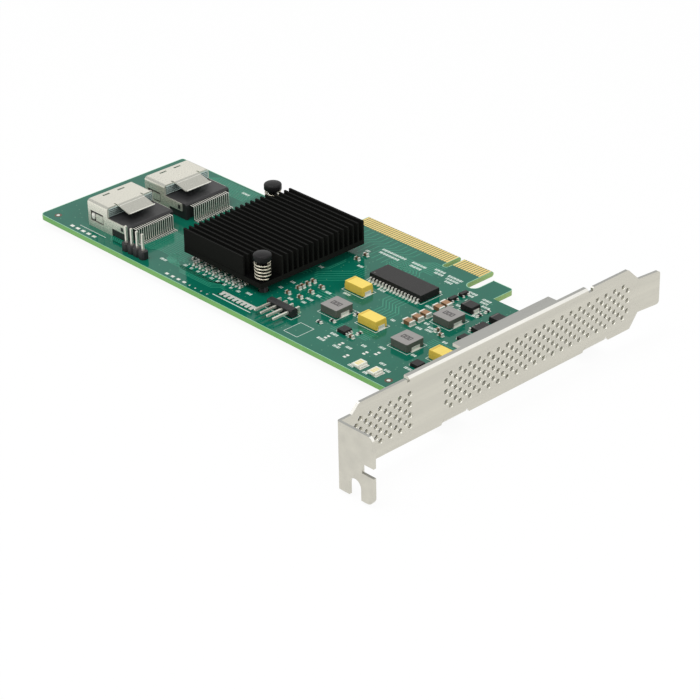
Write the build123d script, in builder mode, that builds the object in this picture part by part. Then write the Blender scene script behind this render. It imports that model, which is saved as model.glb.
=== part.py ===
"""Storage host controller card with a full-height vented bracket.

Frame: +X runs along the card towards the bracket, +Y towards the gold edge contacts and
+Z out of the component side. The origin is the middle of the key notch, on the outer edge
of the contact tongue and on the board's component side. All sizes are in millimetres.
"""
import os
from math import cos, radians, sin

from build123d import *

os.makedirs("parts", exist_ok=True)

# Board
BOARD_T = 1.57
BOARD_X = (-111.6, 56.05)
BOARD_Y = (-68.9, -12.45)
BOARD_BOTTOM = -BOARD_T
TONGUE_X = (-39.15, 12.15)
TONGUE_BEVEL = 0.5
KEY_WIDTH = 1.9
KEY_DEPTH = 8.0
HOOK_X = (16.25, 24.1)
HOOK_Y = -4.3

# Edge contacts
CONTACT_PITCH = 1.0
CONTACT_SIZE = (0.7, 5.0)
CONTACT_T = 0.04
CONTACT_START = 1.5
CONTACT_Y = -3.1
LONG_ROW = 38
SHORT_ROW = 11

# Bracket
SHEET = 0.86
PLATE_X = 63.04
PLATE_INNER_X = PLATE_X - SHEET
FOLD_Y = -108.44
TIP_Y = 11.58
PLATE_Z = (0.5, 19.05)
TONGUE_Y = 3.5
TONGUE_Z = (4.5, 14.7)
TONGUE_TILT = 6.0
FLANGE_Y = (-84.0, -17.0)
FLANGE_Z = 19.1
FLANGE_X = 58.1
FLANGE_BEND = 1.1
EAR_Z = (-2.9, 16.6)
EAR_X = 75.13
EAR_SLOT_X = 68.475
EAR_SLOT_R = 2.125
EAR_SLOT_TOP = 2.5
FOOT_Y = ((-72.0, -63.5), (-18.0, -9.5))
FOOT_BEND = 1.95
FOOT_END_X = 47.5
VENT_R = 0.92
VENT_SIDES = 5
VENT_PITCH = 3.4975
VENT_ROWS = 7
VENT_TOP_Z = 14.4
VENT_ROW_STEP = 1.567

# Bracket screws
SCREW_X = 52.0
SCREW_R = 1.4
SCREW_HEAD_R = 2.6
SCREW_HEAD_H = 1.5
SCREW_CLEARANCE = 0.2
THREAD_CLEARANCE = 0.05
SCREW_END = 0.4
SCREW_SIDES = 16

# Heat sink and what is under it
SINK_X = (-57.0, -23.4)
SINK_Y = (-57.6, -17.4)
SINK_BASE_Z = (2.4, 4.0)
FIN_TOP_Z = 10.0
FIN_COUNT = 21
FIN_PITCH = 1.975
FIN_T = 0.6
CHIP_CENTRE = (-42.3, -37.9)
SUBSTRATE_SIZE = 25.0
SUBSTRATE_TOP = 1.2
LID_SIZE = 20.0
LID_TOP = 2.2
PIN_AXES = {"near": (-26.0, -54.5), "far": (-58.6, -21.3)}
PIN_SHAFT_R = 1.3
PIN_HOLE_R = 1.6
PIN_HEAD_R = 2.7
PIN_HEAD_Z = (9.8, 12.0)
PIN_BARB_R = 1.9
PIN_TIP_Z = -3.6
PIN_TIP_R = 0.9
PIN_HEAD_DOME = 0.6
PIN_SIDES = 16
SPRING_R = 2.25
SPRING_WIRE = 0.44
SPRING_TURNS = 5
SPRING_STEPS = 7
SPRING_GAP = 0.12

# Cable ports
PORT_CENTRES = {"near": -54.1, "far": -32.1}
CAGE_X = (-95.2, -85.9)
CAGE_WIDTH = 17.6
CAGE_TOP = 8.4
CAGE_SHEET = 0.3
HOUSING_END_X = -76.3
HOUSING_TOP = 5.2
FLAP_WIDTH = 10.1
FLAP_END = (-80.6, 6.8)
SIDE_STRIP_END_X = -78.0
LEAD_COUNT = 18
LEAD_PITCH = 0.8
LEAD_T = 0.25
LEAD_WIDTH = 0.34

# Pin headers
PIN_PITCH = 2.54
PIN_SQUARE = 0.64
PIN_COUNT = 4
PIN_BELOW = -2.6
PAD_HOLE_R = 0.6
UPRIGHT_CENTRE = (-69.75, -65.75)
UPRIGHT_TOP = 8.0
ANGLED_X = -12.9
ANGLED_BLOCK_Y = (-60.4, -58.0)
ANGLED_TIP_Y = -66.2
ANGLED_BEND_Y = -56.5
ANGLED_Z = 1.5
HEADER_H = 2.5

# Board parts
SEAT = 0.1
MEMORY_CENTRE = (0.9, -24.9)
MEMORY_SIZE = (20.8, 7.5)
MEMORY_TOP = 2.25
MEMORY_PITCH = 1.27
MEMORY_LEADS = 16
MEMORY_FOOT = 5.1
TANTALUM_SIZE = (7.3, 4.3, 2.8)
TANTALUMS = ((-6.6, -35.6), (10.6, -46.9), (38.8, -47.4))
INDUCTOR_SIZE = (6.6, 6.6, 2.5)
INDUCTORS = ((-2.0, -48.5), (25.9, -48.5), (24.5, -30.8))
CERAMIC_SIZE = (3.2, 2.0, 1.2)
CERAMIC_END = 0.5
CERAMIC_X = 17.4
CERAMIC_Y = (-24.7, -27.7, -32.9, -36.0, -39.4)
DIODE_SIZE = (4.4, 3.6, 2.0)
DIODES = ((24.0, -21.8), (35.0, -21.9))
REGULATOR_SIZE = (3.9, 4.9, 1.5)
REGULATOR_CENTRE = (34.8, -28.4)
SMALL_CHIP_SIZE = (3.0, 3.0, 1.1)
SMALL_CHIPS = ((8.3, -55.2), (36.1, -54.6), (34.9, -35.4))
TRANSISTOR_SIZE = (1.3, 2.9, 1.0)
TRANSISTORS = ((16.4, -16.7), (16.3, -20.9))
LED_SIZE = (2.6, 3.6, 0.9)
LEDS = ((24.7, -65.2), (30.6, -65.1))
CHIP_SIZE = (1.6, 0.8, 0.5)
CAPACITOR_SIZE = (1.6, 0.85, 0.85)
ARRAY_SIZE = (1.0, 0.55, 0.5)


def middle(span):
    """Return the middle of a (low, high) pair."""
    return (span[0] + span[1]) / 2


def block(x, y, z, mode=Mode.ADD):
    """Add or cut the box between two corners, given as three (low, high) pairs."""
    with Locations((middle(x), middle(y), middle(z))):
        Box(x[1] - x[0], y[1] - y[0], z[1] - z[0], mode=mode)


def panel(x, y, mode=Mode.ADD):
    """Add or cut the rectangle between two corners in the sketch being drawn."""
    with Locations((middle(x), middle(y))):
        Rectangle(x[1] - x[0], y[1] - y[0], mode=mode)


def outline(points):
    """Fill the closed outline through the given points."""
    with BuildSketch() as face:
        with BuildLine():
            Polyline(*points, close=True)
        make_face()
    return face.sketch


def band(path, thickness):
    """Return the corners of a strip of even thickness on the left of a bent path."""
    points = [Vector(*point) for point in path]
    steps = [(end - start).normalized() for start, end in zip(points, points[1:])]
    sides = [Vector(-step.Y, step.X) for step in steps]
    offset_points = [points[0] + sides[0] * thickness]
    for corner, before, after in zip(points[1:-1], sides, sides[1:]):
        offset_points.append(corner + (before + after) * (thickness / (1 + before.dot(after))))
    offset_points.append(points[-1] + sides[-1] * thickness)
    return points + offset_points[::-1]


def row(count, pitch, centre=0.0):
    """Return the places of an evenly spaced row about its centre."""
    return [centre + (index - (count - 1) / 2) * pitch for index in range(count)]


def save(piece, label):
    """Label a finished piece and write it as a STEP file."""
    piece.label = label
    export_step(piece, f"parts/{label}.step")


def moulded_block(centre, size, bottom=SEAT, draft=5.0):
    """Make a moulded package: straight below its parting line and drafted above it."""
    length, width, top = size
    parting = top / 2
    with BuildPart() as package:
        with BuildSketch(Plane.XY.offset(bottom)):
            with Locations(centre):
                Rectangle(length, width)
        extrude(amount=parting - bottom)
        with BuildSketch(Plane.XY.offset(parting)):
            with Locations(centre):
                Rectangle(length, width)
        extrude(amount=top - parting, taper=draft)
    return package.part


def end_terminals(centres, size, width, height, tuck, sheet=0.15):
    """Make the folded end terminals of two-ended parts, each tucked under its package."""
    reach = size[0] / 2
    for x, y in centres:
        for side in (-1, 1):
            path = [(x + side * (reach - tuck), 0), (x + side * (reach + sheet), 0),
                    (x + side * (reach + sheet), height)]
            profile = [path[0], path[1], path[2], (x + side * reach, height),
                       (x + side * reach, SEAT), (x + side * (reach - tuck), SEAT)]
            add(extrude(Plane.XZ.offset(-y) * outline(profile), width / 2, both=True, mode=Mode.PRIVATE))


def leads_on_board(centre, places, inner, toe, shoulder, width, sheet, foot=True, along_x=True):
    """Make two facing rows of leads that stand on the board, with or without a foot."""
    knee = inner + (toe - inner) * 0.45 if foot else toe
    profile = [(inner, shoulder), (knee, shoulder)]
    if foot:
        profile += [(knee + sheet / 2, sheet), (toe, sheet)]
    profile += [(toe, 0), (knee - sheet, 0), (knee - sheet, shoulder - sheet),
                (inner, shoulder - sheet)]
    for side in (-1, 1):
        mirrored = [(side * reach, height) for reach, height in profile]
        for place in places:
            if along_x:
                plane = Plane(origin=(place, centre[1], 0), x_dir=(0, 1, 0), z_dir=(1, 0, 0))
            else:
                plane = Plane(origin=(centre[0], place, 0), x_dir=(1, 0, 0), z_dir=(0, -1, 0))
            add(extrude(plane * outline(mirrored), width / 2, both=True, mode=Mode.PRIVATE))


# Circuit board
with BuildPart() as circuit_board:
    with BuildSketch(Plane.XY.offset(BOARD_BOTTOM)) as board_outline:
        panel(BOARD_X, BOARD_Y)
        panel(TONGUE_X, (BOARD_Y[1] - 1, 0))
        panel((TONGUE_X[1], HOOK_X[1]), (BOARD_Y[1] - 1, HOOK_Y))
        relief = HOOK_X[0] - TONGUE_X[1]
        with Locations((middle((TONGUE_X[1], HOOK_X[0])), BOARD_Y[1] + 0.2 + relief / 2)):
            Circle(relief / 2, mode=Mode.SUBTRACT)
        panel((TONGUE_X[1], HOOK_X[0]), (BOARD_Y[1] + 0.2 + relief / 2, HOOK_Y), Mode.SUBTRACT)
        panel((-KEY_WIDTH / 2, KEY_WIDTH / 2), (KEY_WIDTH / 2 - KEY_DEPTH, 1), Mode.SUBTRACT)
        with Locations((0, KEY_WIDTH / 2 - KEY_DEPTH)):
            Circle(KEY_WIDTH / 2, mode=Mode.SUBTRACT)
        left_end = board_outline.vertices().filter_by_position(Axis.X, BOARD_X[0] - 1, BOARD_X[0] + 1)
        fillet(left_end.sort_by(Axis.Y)[0], 1.8)
        left_end = board_outline.vertices().filter_by_position(Axis.X, BOARD_X[0] - 1, BOARD_X[0] + 0.1)
        fillet(left_end.sort_by(Axis.Y)[-1], 1.0)
        hook_corner = board_outline.vertices().filter_by_position(Axis.X, HOOK_X[1] - 0.1, HOOK_X[1] + 0.1)
        fillet(hook_corner.sort_by(Axis.Y)[-1], 1.2)
    extrude(amount=BOARD_T)
    outer_edges = circuit_board.edges().filter_by_position(Axis.Y, -0.01, 0.01).filter_by(Axis.X)
    chamfer(outer_edges, TONGUE_BEVEL)
    with Locations(*[(x, y, 0) for x, y in PIN_AXES.values()]):
        Hole(PIN_HOLE_R)
    with Locations(*[(SCREW_X, middle(foot), 0) for foot in FOOT_Y]):
        Hole(SCREW_R + SCREW_CLEARANCE)
    with BuildSketch(Plane.XY.offset(BOARD_BOTTOM)):
        with Locations(*[(x, UPRIGHT_CENTRE[1]) for x in row(PIN_COUNT, PIN_PITCH, UPRIGHT_CENTRE[0])],
                       *[(x, ANGLED_BEND_Y) for x in row(PIN_COUNT, PIN_PITCH, ANGLED_X)]):
            RegularPolygon(PAD_HOLE_R, 6)
    extrude(amount=BOARD_T, mode=Mode.SUBTRACT)
save(circuit_board.part, "circuit_board")

# Gold edge contacts, one row on each face of the tongue
contact_places = [(-CONTACT_START - index * CONTACT_PITCH, CONTACT_Y) for index in range(LONG_ROW)]
contact_places += [(CONTACT_START + index * CONTACT_PITCH, CONTACT_Y) for index in range(SHORT_ROW)]
for label, level in (("edge_contacts_top", 0.0), ("edge_contacts_bottom", BOARD_BOTTOM - CONTACT_T)):
    with BuildPart() as contacts:
        with BuildSketch(Plane.XY.offset(level)):
            with Locations(*contact_places):
                Rectangle(*CONTACT_SIZE)
        extrude(amount=CONTACT_T)
    save(contacts.part, label)

# Controller chip and the pad on it
with BuildPart() as substrate:
    block(*[(centre - SUBSTRATE_SIZE / 2, centre + SUBSTRATE_SIZE / 2) for centre in CHIP_CENTRE],
          (0, SUBSTRATE_TOP))
    chamfer(substrate.edges().filter_by(Axis.Z), 0.4)
save(substrate.part, "controller_substrate")

with BuildPart() as lid:
    block(*[(centre - LID_SIZE / 2, centre + LID_SIZE / 2) for centre in CHIP_CENTRE],
          (SUBSTRATE_TOP, LID_TOP))
    chamfer(lid.faces().sort_by(Axis.Z)[-1].edges(), 0.3)
save(lid.part, "controller_lid")

with BuildPart() as pad:
    block(*[(centre - LID_SIZE / 2 + 1, centre + LID_SIZE / 2 - 1) for centre in CHIP_CENTRE],
          (LID_TOP, SINK_BASE_Z[0]))
save(pad.part, "thermal_pad")

# Heat sink: a base with straight fins, cut back round the two push pins
POCKET_X = -31.0
POCKET_Y = -49.6
SHORT_FINS = 4
SHORT_FIN_START = -55.2
with BuildPart() as heat_sink:
    with BuildSketch(Plane.XY.offset(SINK_BASE_Z[0])):
        panel(SINK_X, SINK_Y)
        with Locations(PIN_AXES["far"]):
            Circle(PIN_HEAD_R + 0.7)
    extrude(amount=SINK_BASE_Z[1] - SINK_BASE_Z[0])
    with BuildSketch(Plane.XY.offset(SINK_BASE_Z[1])):
        for index in range(FIN_COUNT):
            fin_y = SINK_Y[1] - FIN_T / 2 - index * FIN_PITCH
            start = SHORT_FIN_START if index < SHORT_FINS else SINK_X[0]
            end = POCKET_X if fin_y < POCKET_Y else SINK_X[1]
            panel((start, end), (fin_y - FIN_T / 2, fin_y + FIN_T / 2))
    extrude(amount=FIN_TOP_Z - SINK_BASE_Z[1])
    with Locations(*[(x, y, SINK_BASE_Z[1]) for x, y in PIN_AXES.values()]):
        Hole(PIN_HOLE_R)
save(heat_sink.part, "heat_sink")

# Push pins: a domed head, a shaft and a barb that snaps under the board
with BuildPart() as push_pin:
    with BuildSketch(Plane.XY.offset(BOARD_BOTTOM)):
        RegularPolygon(PIN_SHAFT_R, PIN_SIDES)
    extrude(amount=PIN_HEAD_Z[0] - BOARD_BOTTOM)
    with BuildSketch(Plane.XY.offset(PIN_TIP_Z)):
        RegularPolygon(PIN_TIP_R, PIN_SIDES)
    with BuildSketch(Plane.XY.offset(BOARD_BOTTOM)):
        RegularPolygon(PIN_BARB_R, PIN_SIDES)
    loft()
    with BuildSketch(Plane.XY.offset(PIN_HEAD_Z[0])):
        RegularPolygon(PIN_HEAD_R, PIN_SIDES)
    extrude(amount=PIN_HEAD_Z[1] - PIN_HEAD_Z[0])
    chamfer(push_pin.faces().sort_by(Axis.Z)[-1].edges(), PIN_HEAD_DOME)

spring_low = SINK_BASE_Z[1] + SPRING_WIRE / 2 + SPRING_GAP
spring_high = PIN_HEAD_Z[0] - SPRING_WIRE / 2 - SPRING_GAP
spring_steps = SPRING_TURNS * SPRING_STEPS
spring_path = []
for step in range(spring_steps + 1):
    turn = radians(360 / SPRING_STEPS * step)
    climb = (spring_high - spring_low) * step / spring_steps
    spring_path.append((SPRING_R * cos(turn), SPRING_R * sin(turn), spring_low + climb))
with BuildPart() as pin_spring:
    with BuildLine() as coil:
        Polyline(*spring_path)
    with BuildSketch(Plane(origin=coil.line @ 0, z_dir=coil.line % 0, x_dir=(1, 0, 0))):
        Rectangle(SPRING_WIRE, SPRING_WIRE)
    sweep(transition=Transition.RIGHT)

for name, (x, y) in PIN_AXES.items():
    save(push_pin.part.moved(Location((x, y, 0))), f"push_pin_{name}")
    save(pin_spring.part.moved(Location((x, y, 0))), f"pin_spring_{name}")

# Cable ports: a folded shell round the mouth, a housing behind it and its soldered leads
CAGE_HALF = CAGE_WIDTH / 2
MOUTH_HALF = CAGE_HALF - CAGE_SHEET
SIDE_OUTLINE = [(CAGE_X[0], 0), (CAGE_X[0], CAGE_TOP - 1), (CAGE_X[1], CAGE_TOP - 1),
                (CAGE_X[1], 5.0), (SIDE_STRIP_END_X, 5.0), (SIDE_STRIP_END_X, 2.5),
                (-84.0, 2.5), (-84.0, 0)]
WINDOW_X = (-94.0, -88.0)
WINDOW_Z = (2.0, 5.3)
LATCH_SLOT = (0.7, 2.6)
LATCH_OFFSET = 2.8
LATCH_X = CAGE_X[0] + 1.55
LEAD_X = -74.5
LEAD_TOE_X = -72.8
LEAD_EXIT_Z = 4.5
for name, centre in PORT_CENTRES.items():
    with BuildPart() as cage:
        with BuildSketch(Plane.YZ.offset(CAGE_X[0])) as shell_section:
            panel((centre - CAGE_HALF, centre + CAGE_HALF), (0, CAGE_TOP))
            fillet(shell_section.vertices().group_by(Axis.Y)[-1], 1.0)
            offset(amount=-CAGE_SHEET, mode=Mode.SUBTRACT)
        extrude(amount=CAGE_X[1] - CAGE_X[0])
        for side in (-1, 1):
            wall = Plane.XZ.offset(-(centre + side * (CAGE_HALF - CAGE_SHEET / 2)))
            add(extrude(wall * outline(SIDE_OUTLINE), CAGE_SHEET / 2, both=True, mode=Mode.PRIVATE))
        block(WINDOW_X, (centre - CAGE_WIDTH, centre + CAGE_WIDTH), WINDOW_Z, Mode.SUBTRACT)
        with BuildSketch(Plane.XY.offset(CAGE_TOP)):
            for offset_y in (-LATCH_OFFSET, LATCH_OFFSET):
                with Locations((LATCH_X, centre + offset_y)):
                    Rectangle(*LATCH_SLOT)
            for offset_y in (-FLAP_WIDTH / 2, FLAP_WIDTH / 2):
                with Locations((CAGE_X[1], centre + offset_y)):
                    Rectangle(2.4, 0.5)
        extrude(amount=-2 * CAGE_SHEET, mode=Mode.SUBTRACT)
        flap = band([(CAGE_X[1] - 0.2, CAGE_TOP - CAGE_SHEET), (CAGE_X[1], CAGE_TOP - CAGE_SHEET),
                     FLAP_END, (FLAP_END[0] + 0.6, FLAP_END[1] + 0.35)], CAGE_SHEET)
        with BuildSketch(Plane.XZ.offset(-centre)):
            add(outline(flap))
        extrude(amount=FLAP_WIDTH / 2 - 0.25, both=True)
        block((CAGE_X[1] - CAGE_SHEET, CAGE_X[1]), (centre - MOUTH_HALF, centre + MOUTH_HALF),
              (HOUSING_TOP, CAGE_TOP - CAGE_SHEET))
    save(cage.part, f"port_cage_{name}")

    with BuildPart() as housing:
        block((CAGE_X[1], HOUSING_END_X), (centre - MOUTH_HALF, centre + MOUTH_HALF), (0, HOUSING_TOP))
        chamfer(housing.edges().filter_by(Axis.Y).group_by(Axis.Z)[-1].sort_by(Axis.X)[-1], 0.5)
        block((CAGE_X[1] - 1, CAGE_X[1] + 6.5), (centre - 7.6, centre + 7.6), (2.3, 3.7), Mode.SUBTRACT)
        block((HOUSING_END_X - 0.7, HOUSING_END_X), (centre - 7.4, centre + 7.4), (0, 3.2), Mode.SUBTRACT)
    save(housing.part, f"port_housing_{name}")

    with BuildPart() as leads:
        outer_lead = band([(HOUSING_END_X, LEAD_EXIT_Z), (LEAD_X, LEAD_EXIT_Z), (LEAD_X, LEAD_T),
                           (LEAD_TOE_X, LEAD_T)], -LEAD_T)
        with BuildSketch(*[Plane.XZ.offset(-y) for y in row(LEAD_COUNT, LEAD_PITCH, centre)]):
            add(outline(outer_lead))
        extrude(amount=LEAD_WIDTH / 2, both=True)
    save(leads.part, f"port_leads_{name}")

# Upright pin header
upright_x = row(PIN_COUNT, PIN_PITCH, UPRIGHT_CENTRE[0])
with BuildPart() as upright_base:
    with BuildSketch():
        with Locations(*[(x, UPRIGHT_CENTRE[1]) for x in upright_x]):
            Rectangle(PIN_PITCH, PIN_PITCH - 0.04)
    extrude(amount=HEADER_H)
    for x in [upright_x[0] - PIN_PITCH / 2 + index * PIN_PITCH for index in range(PIN_COUNT + 1)]:
        for side in (-1, 1):
            with BuildSketch():
                with Locations((x, UPRIGHT_CENTRE[1] + side * PIN_PITCH / 2)):
                    Rectangle(0.8, 0.8, rotation=45)
            extrude(amount=HEADER_H, mode=Mode.SUBTRACT)
    with Locations(*[(x, UPRIGHT_CENTRE[1], HEADER_H / 2) for x in upright_x]):
        Box(PIN_SQUARE, PIN_SQUARE, HEADER_H, mode=Mode.SUBTRACT)
save(upright_base.part, "upright_header_base")

with BuildPart() as upright_pins:
    with BuildSketch(Plane.XY.offset(PIN_BELOW)):
        with Locations(*[(x, UPRIGHT_CENTRE[1]) for x in upright_x]):
            Rectangle(PIN_SQUARE, PIN_SQUARE)
    extrude(amount=UPRIGHT_TOP - PIN_BELOW)
    chamfer(upright_pins.faces().group_by(Axis.Z)[-1].edges(), 0.18)
save(upright_pins.part, "upright_header_pins")

# Right-angle pin header
angled_x = row(PIN_COUNT, PIN_PITCH, ANGLED_X)
with BuildPart() as angled_base:
    block((angled_x[0] - PIN_PITCH / 2, angled_x[-1] + PIN_PITCH / 2), ANGLED_BLOCK_Y, (0, HEADER_H))
    chamfer(angled_base.edges().filter_by(Axis.X), 0.35)
    with Locations(*[(x, middle(ANGLED_BLOCK_Y), ANGLED_Z) for x in angled_x]):
        Box(PIN_SQUARE, 2 * HEADER_H, PIN_SQUARE, mode=Mode.SUBTRACT)
save(angled_base.part, "angled_header_base")

half_pin = PIN_SQUARE / 2
angled_pin = band([(ANGLED_TIP_Y, ANGLED_Z + half_pin), (ANGLED_BEND_Y + half_pin, ANGLED_Z + half_pin),
                   (ANGLED_BEND_Y + half_pin, PIN_BELOW)], -PIN_SQUARE)
with BuildPart() as angled_pins:
    with BuildSketch(*[Plane.YZ.offset(x) for x in angled_x]):
        add(outline(angled_pin))
    extrude(amount=half_pin, both=True)
    chamfer(angled_pins.faces().group_by(Axis.Y)[0].edges(), 0.18)
save(angled_pins.part, "angled_header_pins")

# Memory chip
save(moulded_block(MEMORY_CENTRE, (*MEMORY_SIZE, MEMORY_TOP)), "memory_chip")
with BuildPart() as memory_leads:
    leads_on_board(MEMORY_CENTRE, row(MEMORY_LEADS, MEMORY_PITCH, MEMORY_CENTRE[0]),
                   MEMORY_SIZE[1] / 2, MEMORY_FOOT, MEMORY_TOP / 2, 0.42, 0.25)
save(memory_leads.part, "memory_chip_leads")

# Tantalum capacitors
for number, centre in enumerate(TANTALUMS, 1):
    save(moulded_block(centre, TANTALUM_SIZE), f"tantalum_capacitor_{number}")
with BuildPart() as tantalum_terminals:
    end_terminals(TANTALUMS, TANTALUM_SIZE, 2.4, 1.2, 1.3)
save(tantalum_terminals.part, "tantalum_terminals")

# Power inductors
for number, (x, y) in enumerate(INDUCTORS, 1):
    half = INDUCTOR_SIZE[0] / 2
    with BuildPart() as inductor:
        block((x - half, x + half), (y - half, y + half), (SEAT, INDUCTOR_SIZE[2]))
        chamfer(inductor.edges().filter_by(Axis.Z), 0.3)
    save(inductor.part, f"inductor_{number}")
with BuildPart() as inductor_terminals:
    end_terminals(INDUCTORS, INDUCTOR_SIZE, 3.0, 1.1, 1.4)
save(inductor_terminals.part, "inductor_terminals")

# Large ceramic capacitors
ceramic_half = CERAMIC_SIZE[0] / 2
for number, y in enumerate(CERAMIC_Y, 1):
    with BuildPart() as ceramic:
        block((CERAMIC_X - ceramic_half + CERAMIC_END, CERAMIC_X + ceramic_half - CERAMIC_END),
              (y - CERAMIC_SIZE[1] / 2, y + CERAMIC_SIZE[1] / 2), (0, CERAMIC_SIZE[2]))
    save(ceramic.part, f"ceramic_capacitor_{number}")
with BuildPart() as ceramic_ends:
    for y in CERAMIC_Y:
        for side in (-1, 1):
            with Locations((CERAMIC_X + side * (ceramic_half - CERAMIC_END / 2), y, CERAMIC_SIZE[2] / 2)):
                Box(CERAMIC_END, CERAMIC_SIZE[1], CERAMIC_SIZE[2])
save(ceramic_ends.part, "ceramic_capacitor_ends")

# Power diodes
for number, centre in enumerate(DIODES, 1):
    save(moulded_block(centre, DIODE_SIZE), f"power_diode_{number}")
with BuildPart() as diode_terminals:
    end_terminals(DIODES, DIODE_SIZE, 2.1, 1.1, 1.0, sheet=0.25)
save(diode_terminals.part, "power_diode_terminals")

# Regulator chip, small chips and transistors, with their leads
save(moulded_block(REGULATOR_CENTRE, REGULATOR_SIZE), "regulator_chip")
with BuildPart() as regulator_leads:
    leads_on_board(REGULATOR_CENTRE, row(4, 1.27, REGULATOR_CENTRE[1]), REGULATOR_SIZE[0] / 2, 2.9,
                   REGULATOR_SIZE[2] / 2, 0.42, 0.2, foot=False, along_x=False)
save(regulator_leads.part, "regulator_chip_leads")

for number, centre in enumerate(SMALL_CHIPS, 1):
    save(moulded_block(centre, SMALL_CHIP_SIZE), f"small_chip_{number}")
with BuildPart() as small_leads:
    for centre in SMALL_CHIPS:
        leads_on_board(centre, row(3, 0.95, centre[1]), SMALL_CHIP_SIZE[0] / 2, 2.0,
                       SMALL_CHIP_SIZE[2] / 2, 0.35, 0.18, foot=False, along_x=False)
save(small_leads.part, "small_chip_leads")

for number, centre in enumerate(TRANSISTORS, 1):
    save(moulded_block(centre, TRANSISTOR_SIZE), f"transistor_{number}")
with BuildPart() as transistor_leads:
    for centre in TRANSISTORS:
        leads_on_board(centre, row(2, 1.9, centre[1]), TRANSISTOR_SIZE[0] / 2, 1.2,
                       TRANSISTOR_SIZE[2] / 2, 0.4, 0.15, foot=False, along_x=False)
save(transistor_leads.part, "transistor_leads")

# Status lamps
for number, centre in enumerate(LEDS, 1):
    save(moulded_block(centre, LED_SIZE), f"status_led_{number}")
with BuildPart() as led_terminals:
    end_terminals(LEDS, LED_SIZE, 2.8, 0.4, 0.6, sheet=0.5)
save(led_terminals.part, "status_led_terminals")

# Chip resistors and chip capacitors; True turns a part to lie along Y
RESISTORS = [((3.4, -46.0), True), ((5.0, -46.0), True), ((-0.6, -56.4), False), ((1.6, -53.4), False),
             ((12.0, -53.2), True), ((28.2, -19.4), True), ((28.2, -22.6), True)]
CAPACITORS = [((-19.6, y), False) for y in (-50.9, -46.8, -45.3, -43.2, -41.1)]
CAPACITORS += [((-15.2, y), False) for y in (-50.3, -46.0, -42.0)]
CAPACITORS += [((-21.0, -19.0), False), ((-21.0, -22.5), False), ((12.0, -56.2), False),
               ((26.0, -37.0), True), ((28.6, -38.2), False)]
ARRAY = [((x, -55.5), True) for x in row(9, 2.9, -43.8)]
ARRAY += [((x, -57.8), True) for x in row(8, 2.9, -42.05)]
for label, size, places in (("chip_resistors", CHIP_SIZE, RESISTORS),
                            ("chip_capacitors", CAPACITOR_SIZE, CAPACITORS),
                            ("array_capacitors", ARRAY_SIZE, ARRAY)):
    with BuildPart() as chips:
        for (x, y), along_y in places:
            length, width = (size[1], size[0]) if along_y else (size[0], size[1])
            with Locations((x, y, size[2] / 2)):
                Box(length, width, size[2])
    save(chips.part, label)

# Bracket: a vented plate with a flange, two feet, a chassis tongue and a slotted ear
PLATE_OUTLINE = [(FOLD_Y, PLATE_Z[0]), (FOLD_Y, EAR_Z[1]), (-104.0, EAR_Z[1]),
                 (-101.5, PLATE_Z[1]), (FLANGE_Y[0] - 0.9, PLATE_Z[1]),
                 (FLANGE_Y[0] - 0.9, FLANGE_Z - FLANGE_BEND), (FLANGE_Y[1] + 1.7, FLANGE_Z - FLANGE_BEND),
                 (FLANGE_Y[1] + 1.7, PLATE_Z[1]), (-1.0, PLATE_Z[1]), (TONGUE_Y, TONGUE_Z[1]),
                 (TONGUE_Y, TONGUE_Z[0]), (0.3, PLATE_Z[0])]
for low, high in reversed(FOOT_Y):
    PLATE_OUTLINE += [(high + 1.0, PLATE_Z[0]), (high, FOOT_BEND), (low, FOOT_BEND),
                      (low - 0.8, PLATE_Z[0])]
FOOT_PROFILE_X = PLATE_X - FOOT_BEND
NOTCH_X = (71.0, EAR_X + 1)
NOTCH_Z = (5.2, 8.0)

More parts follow.
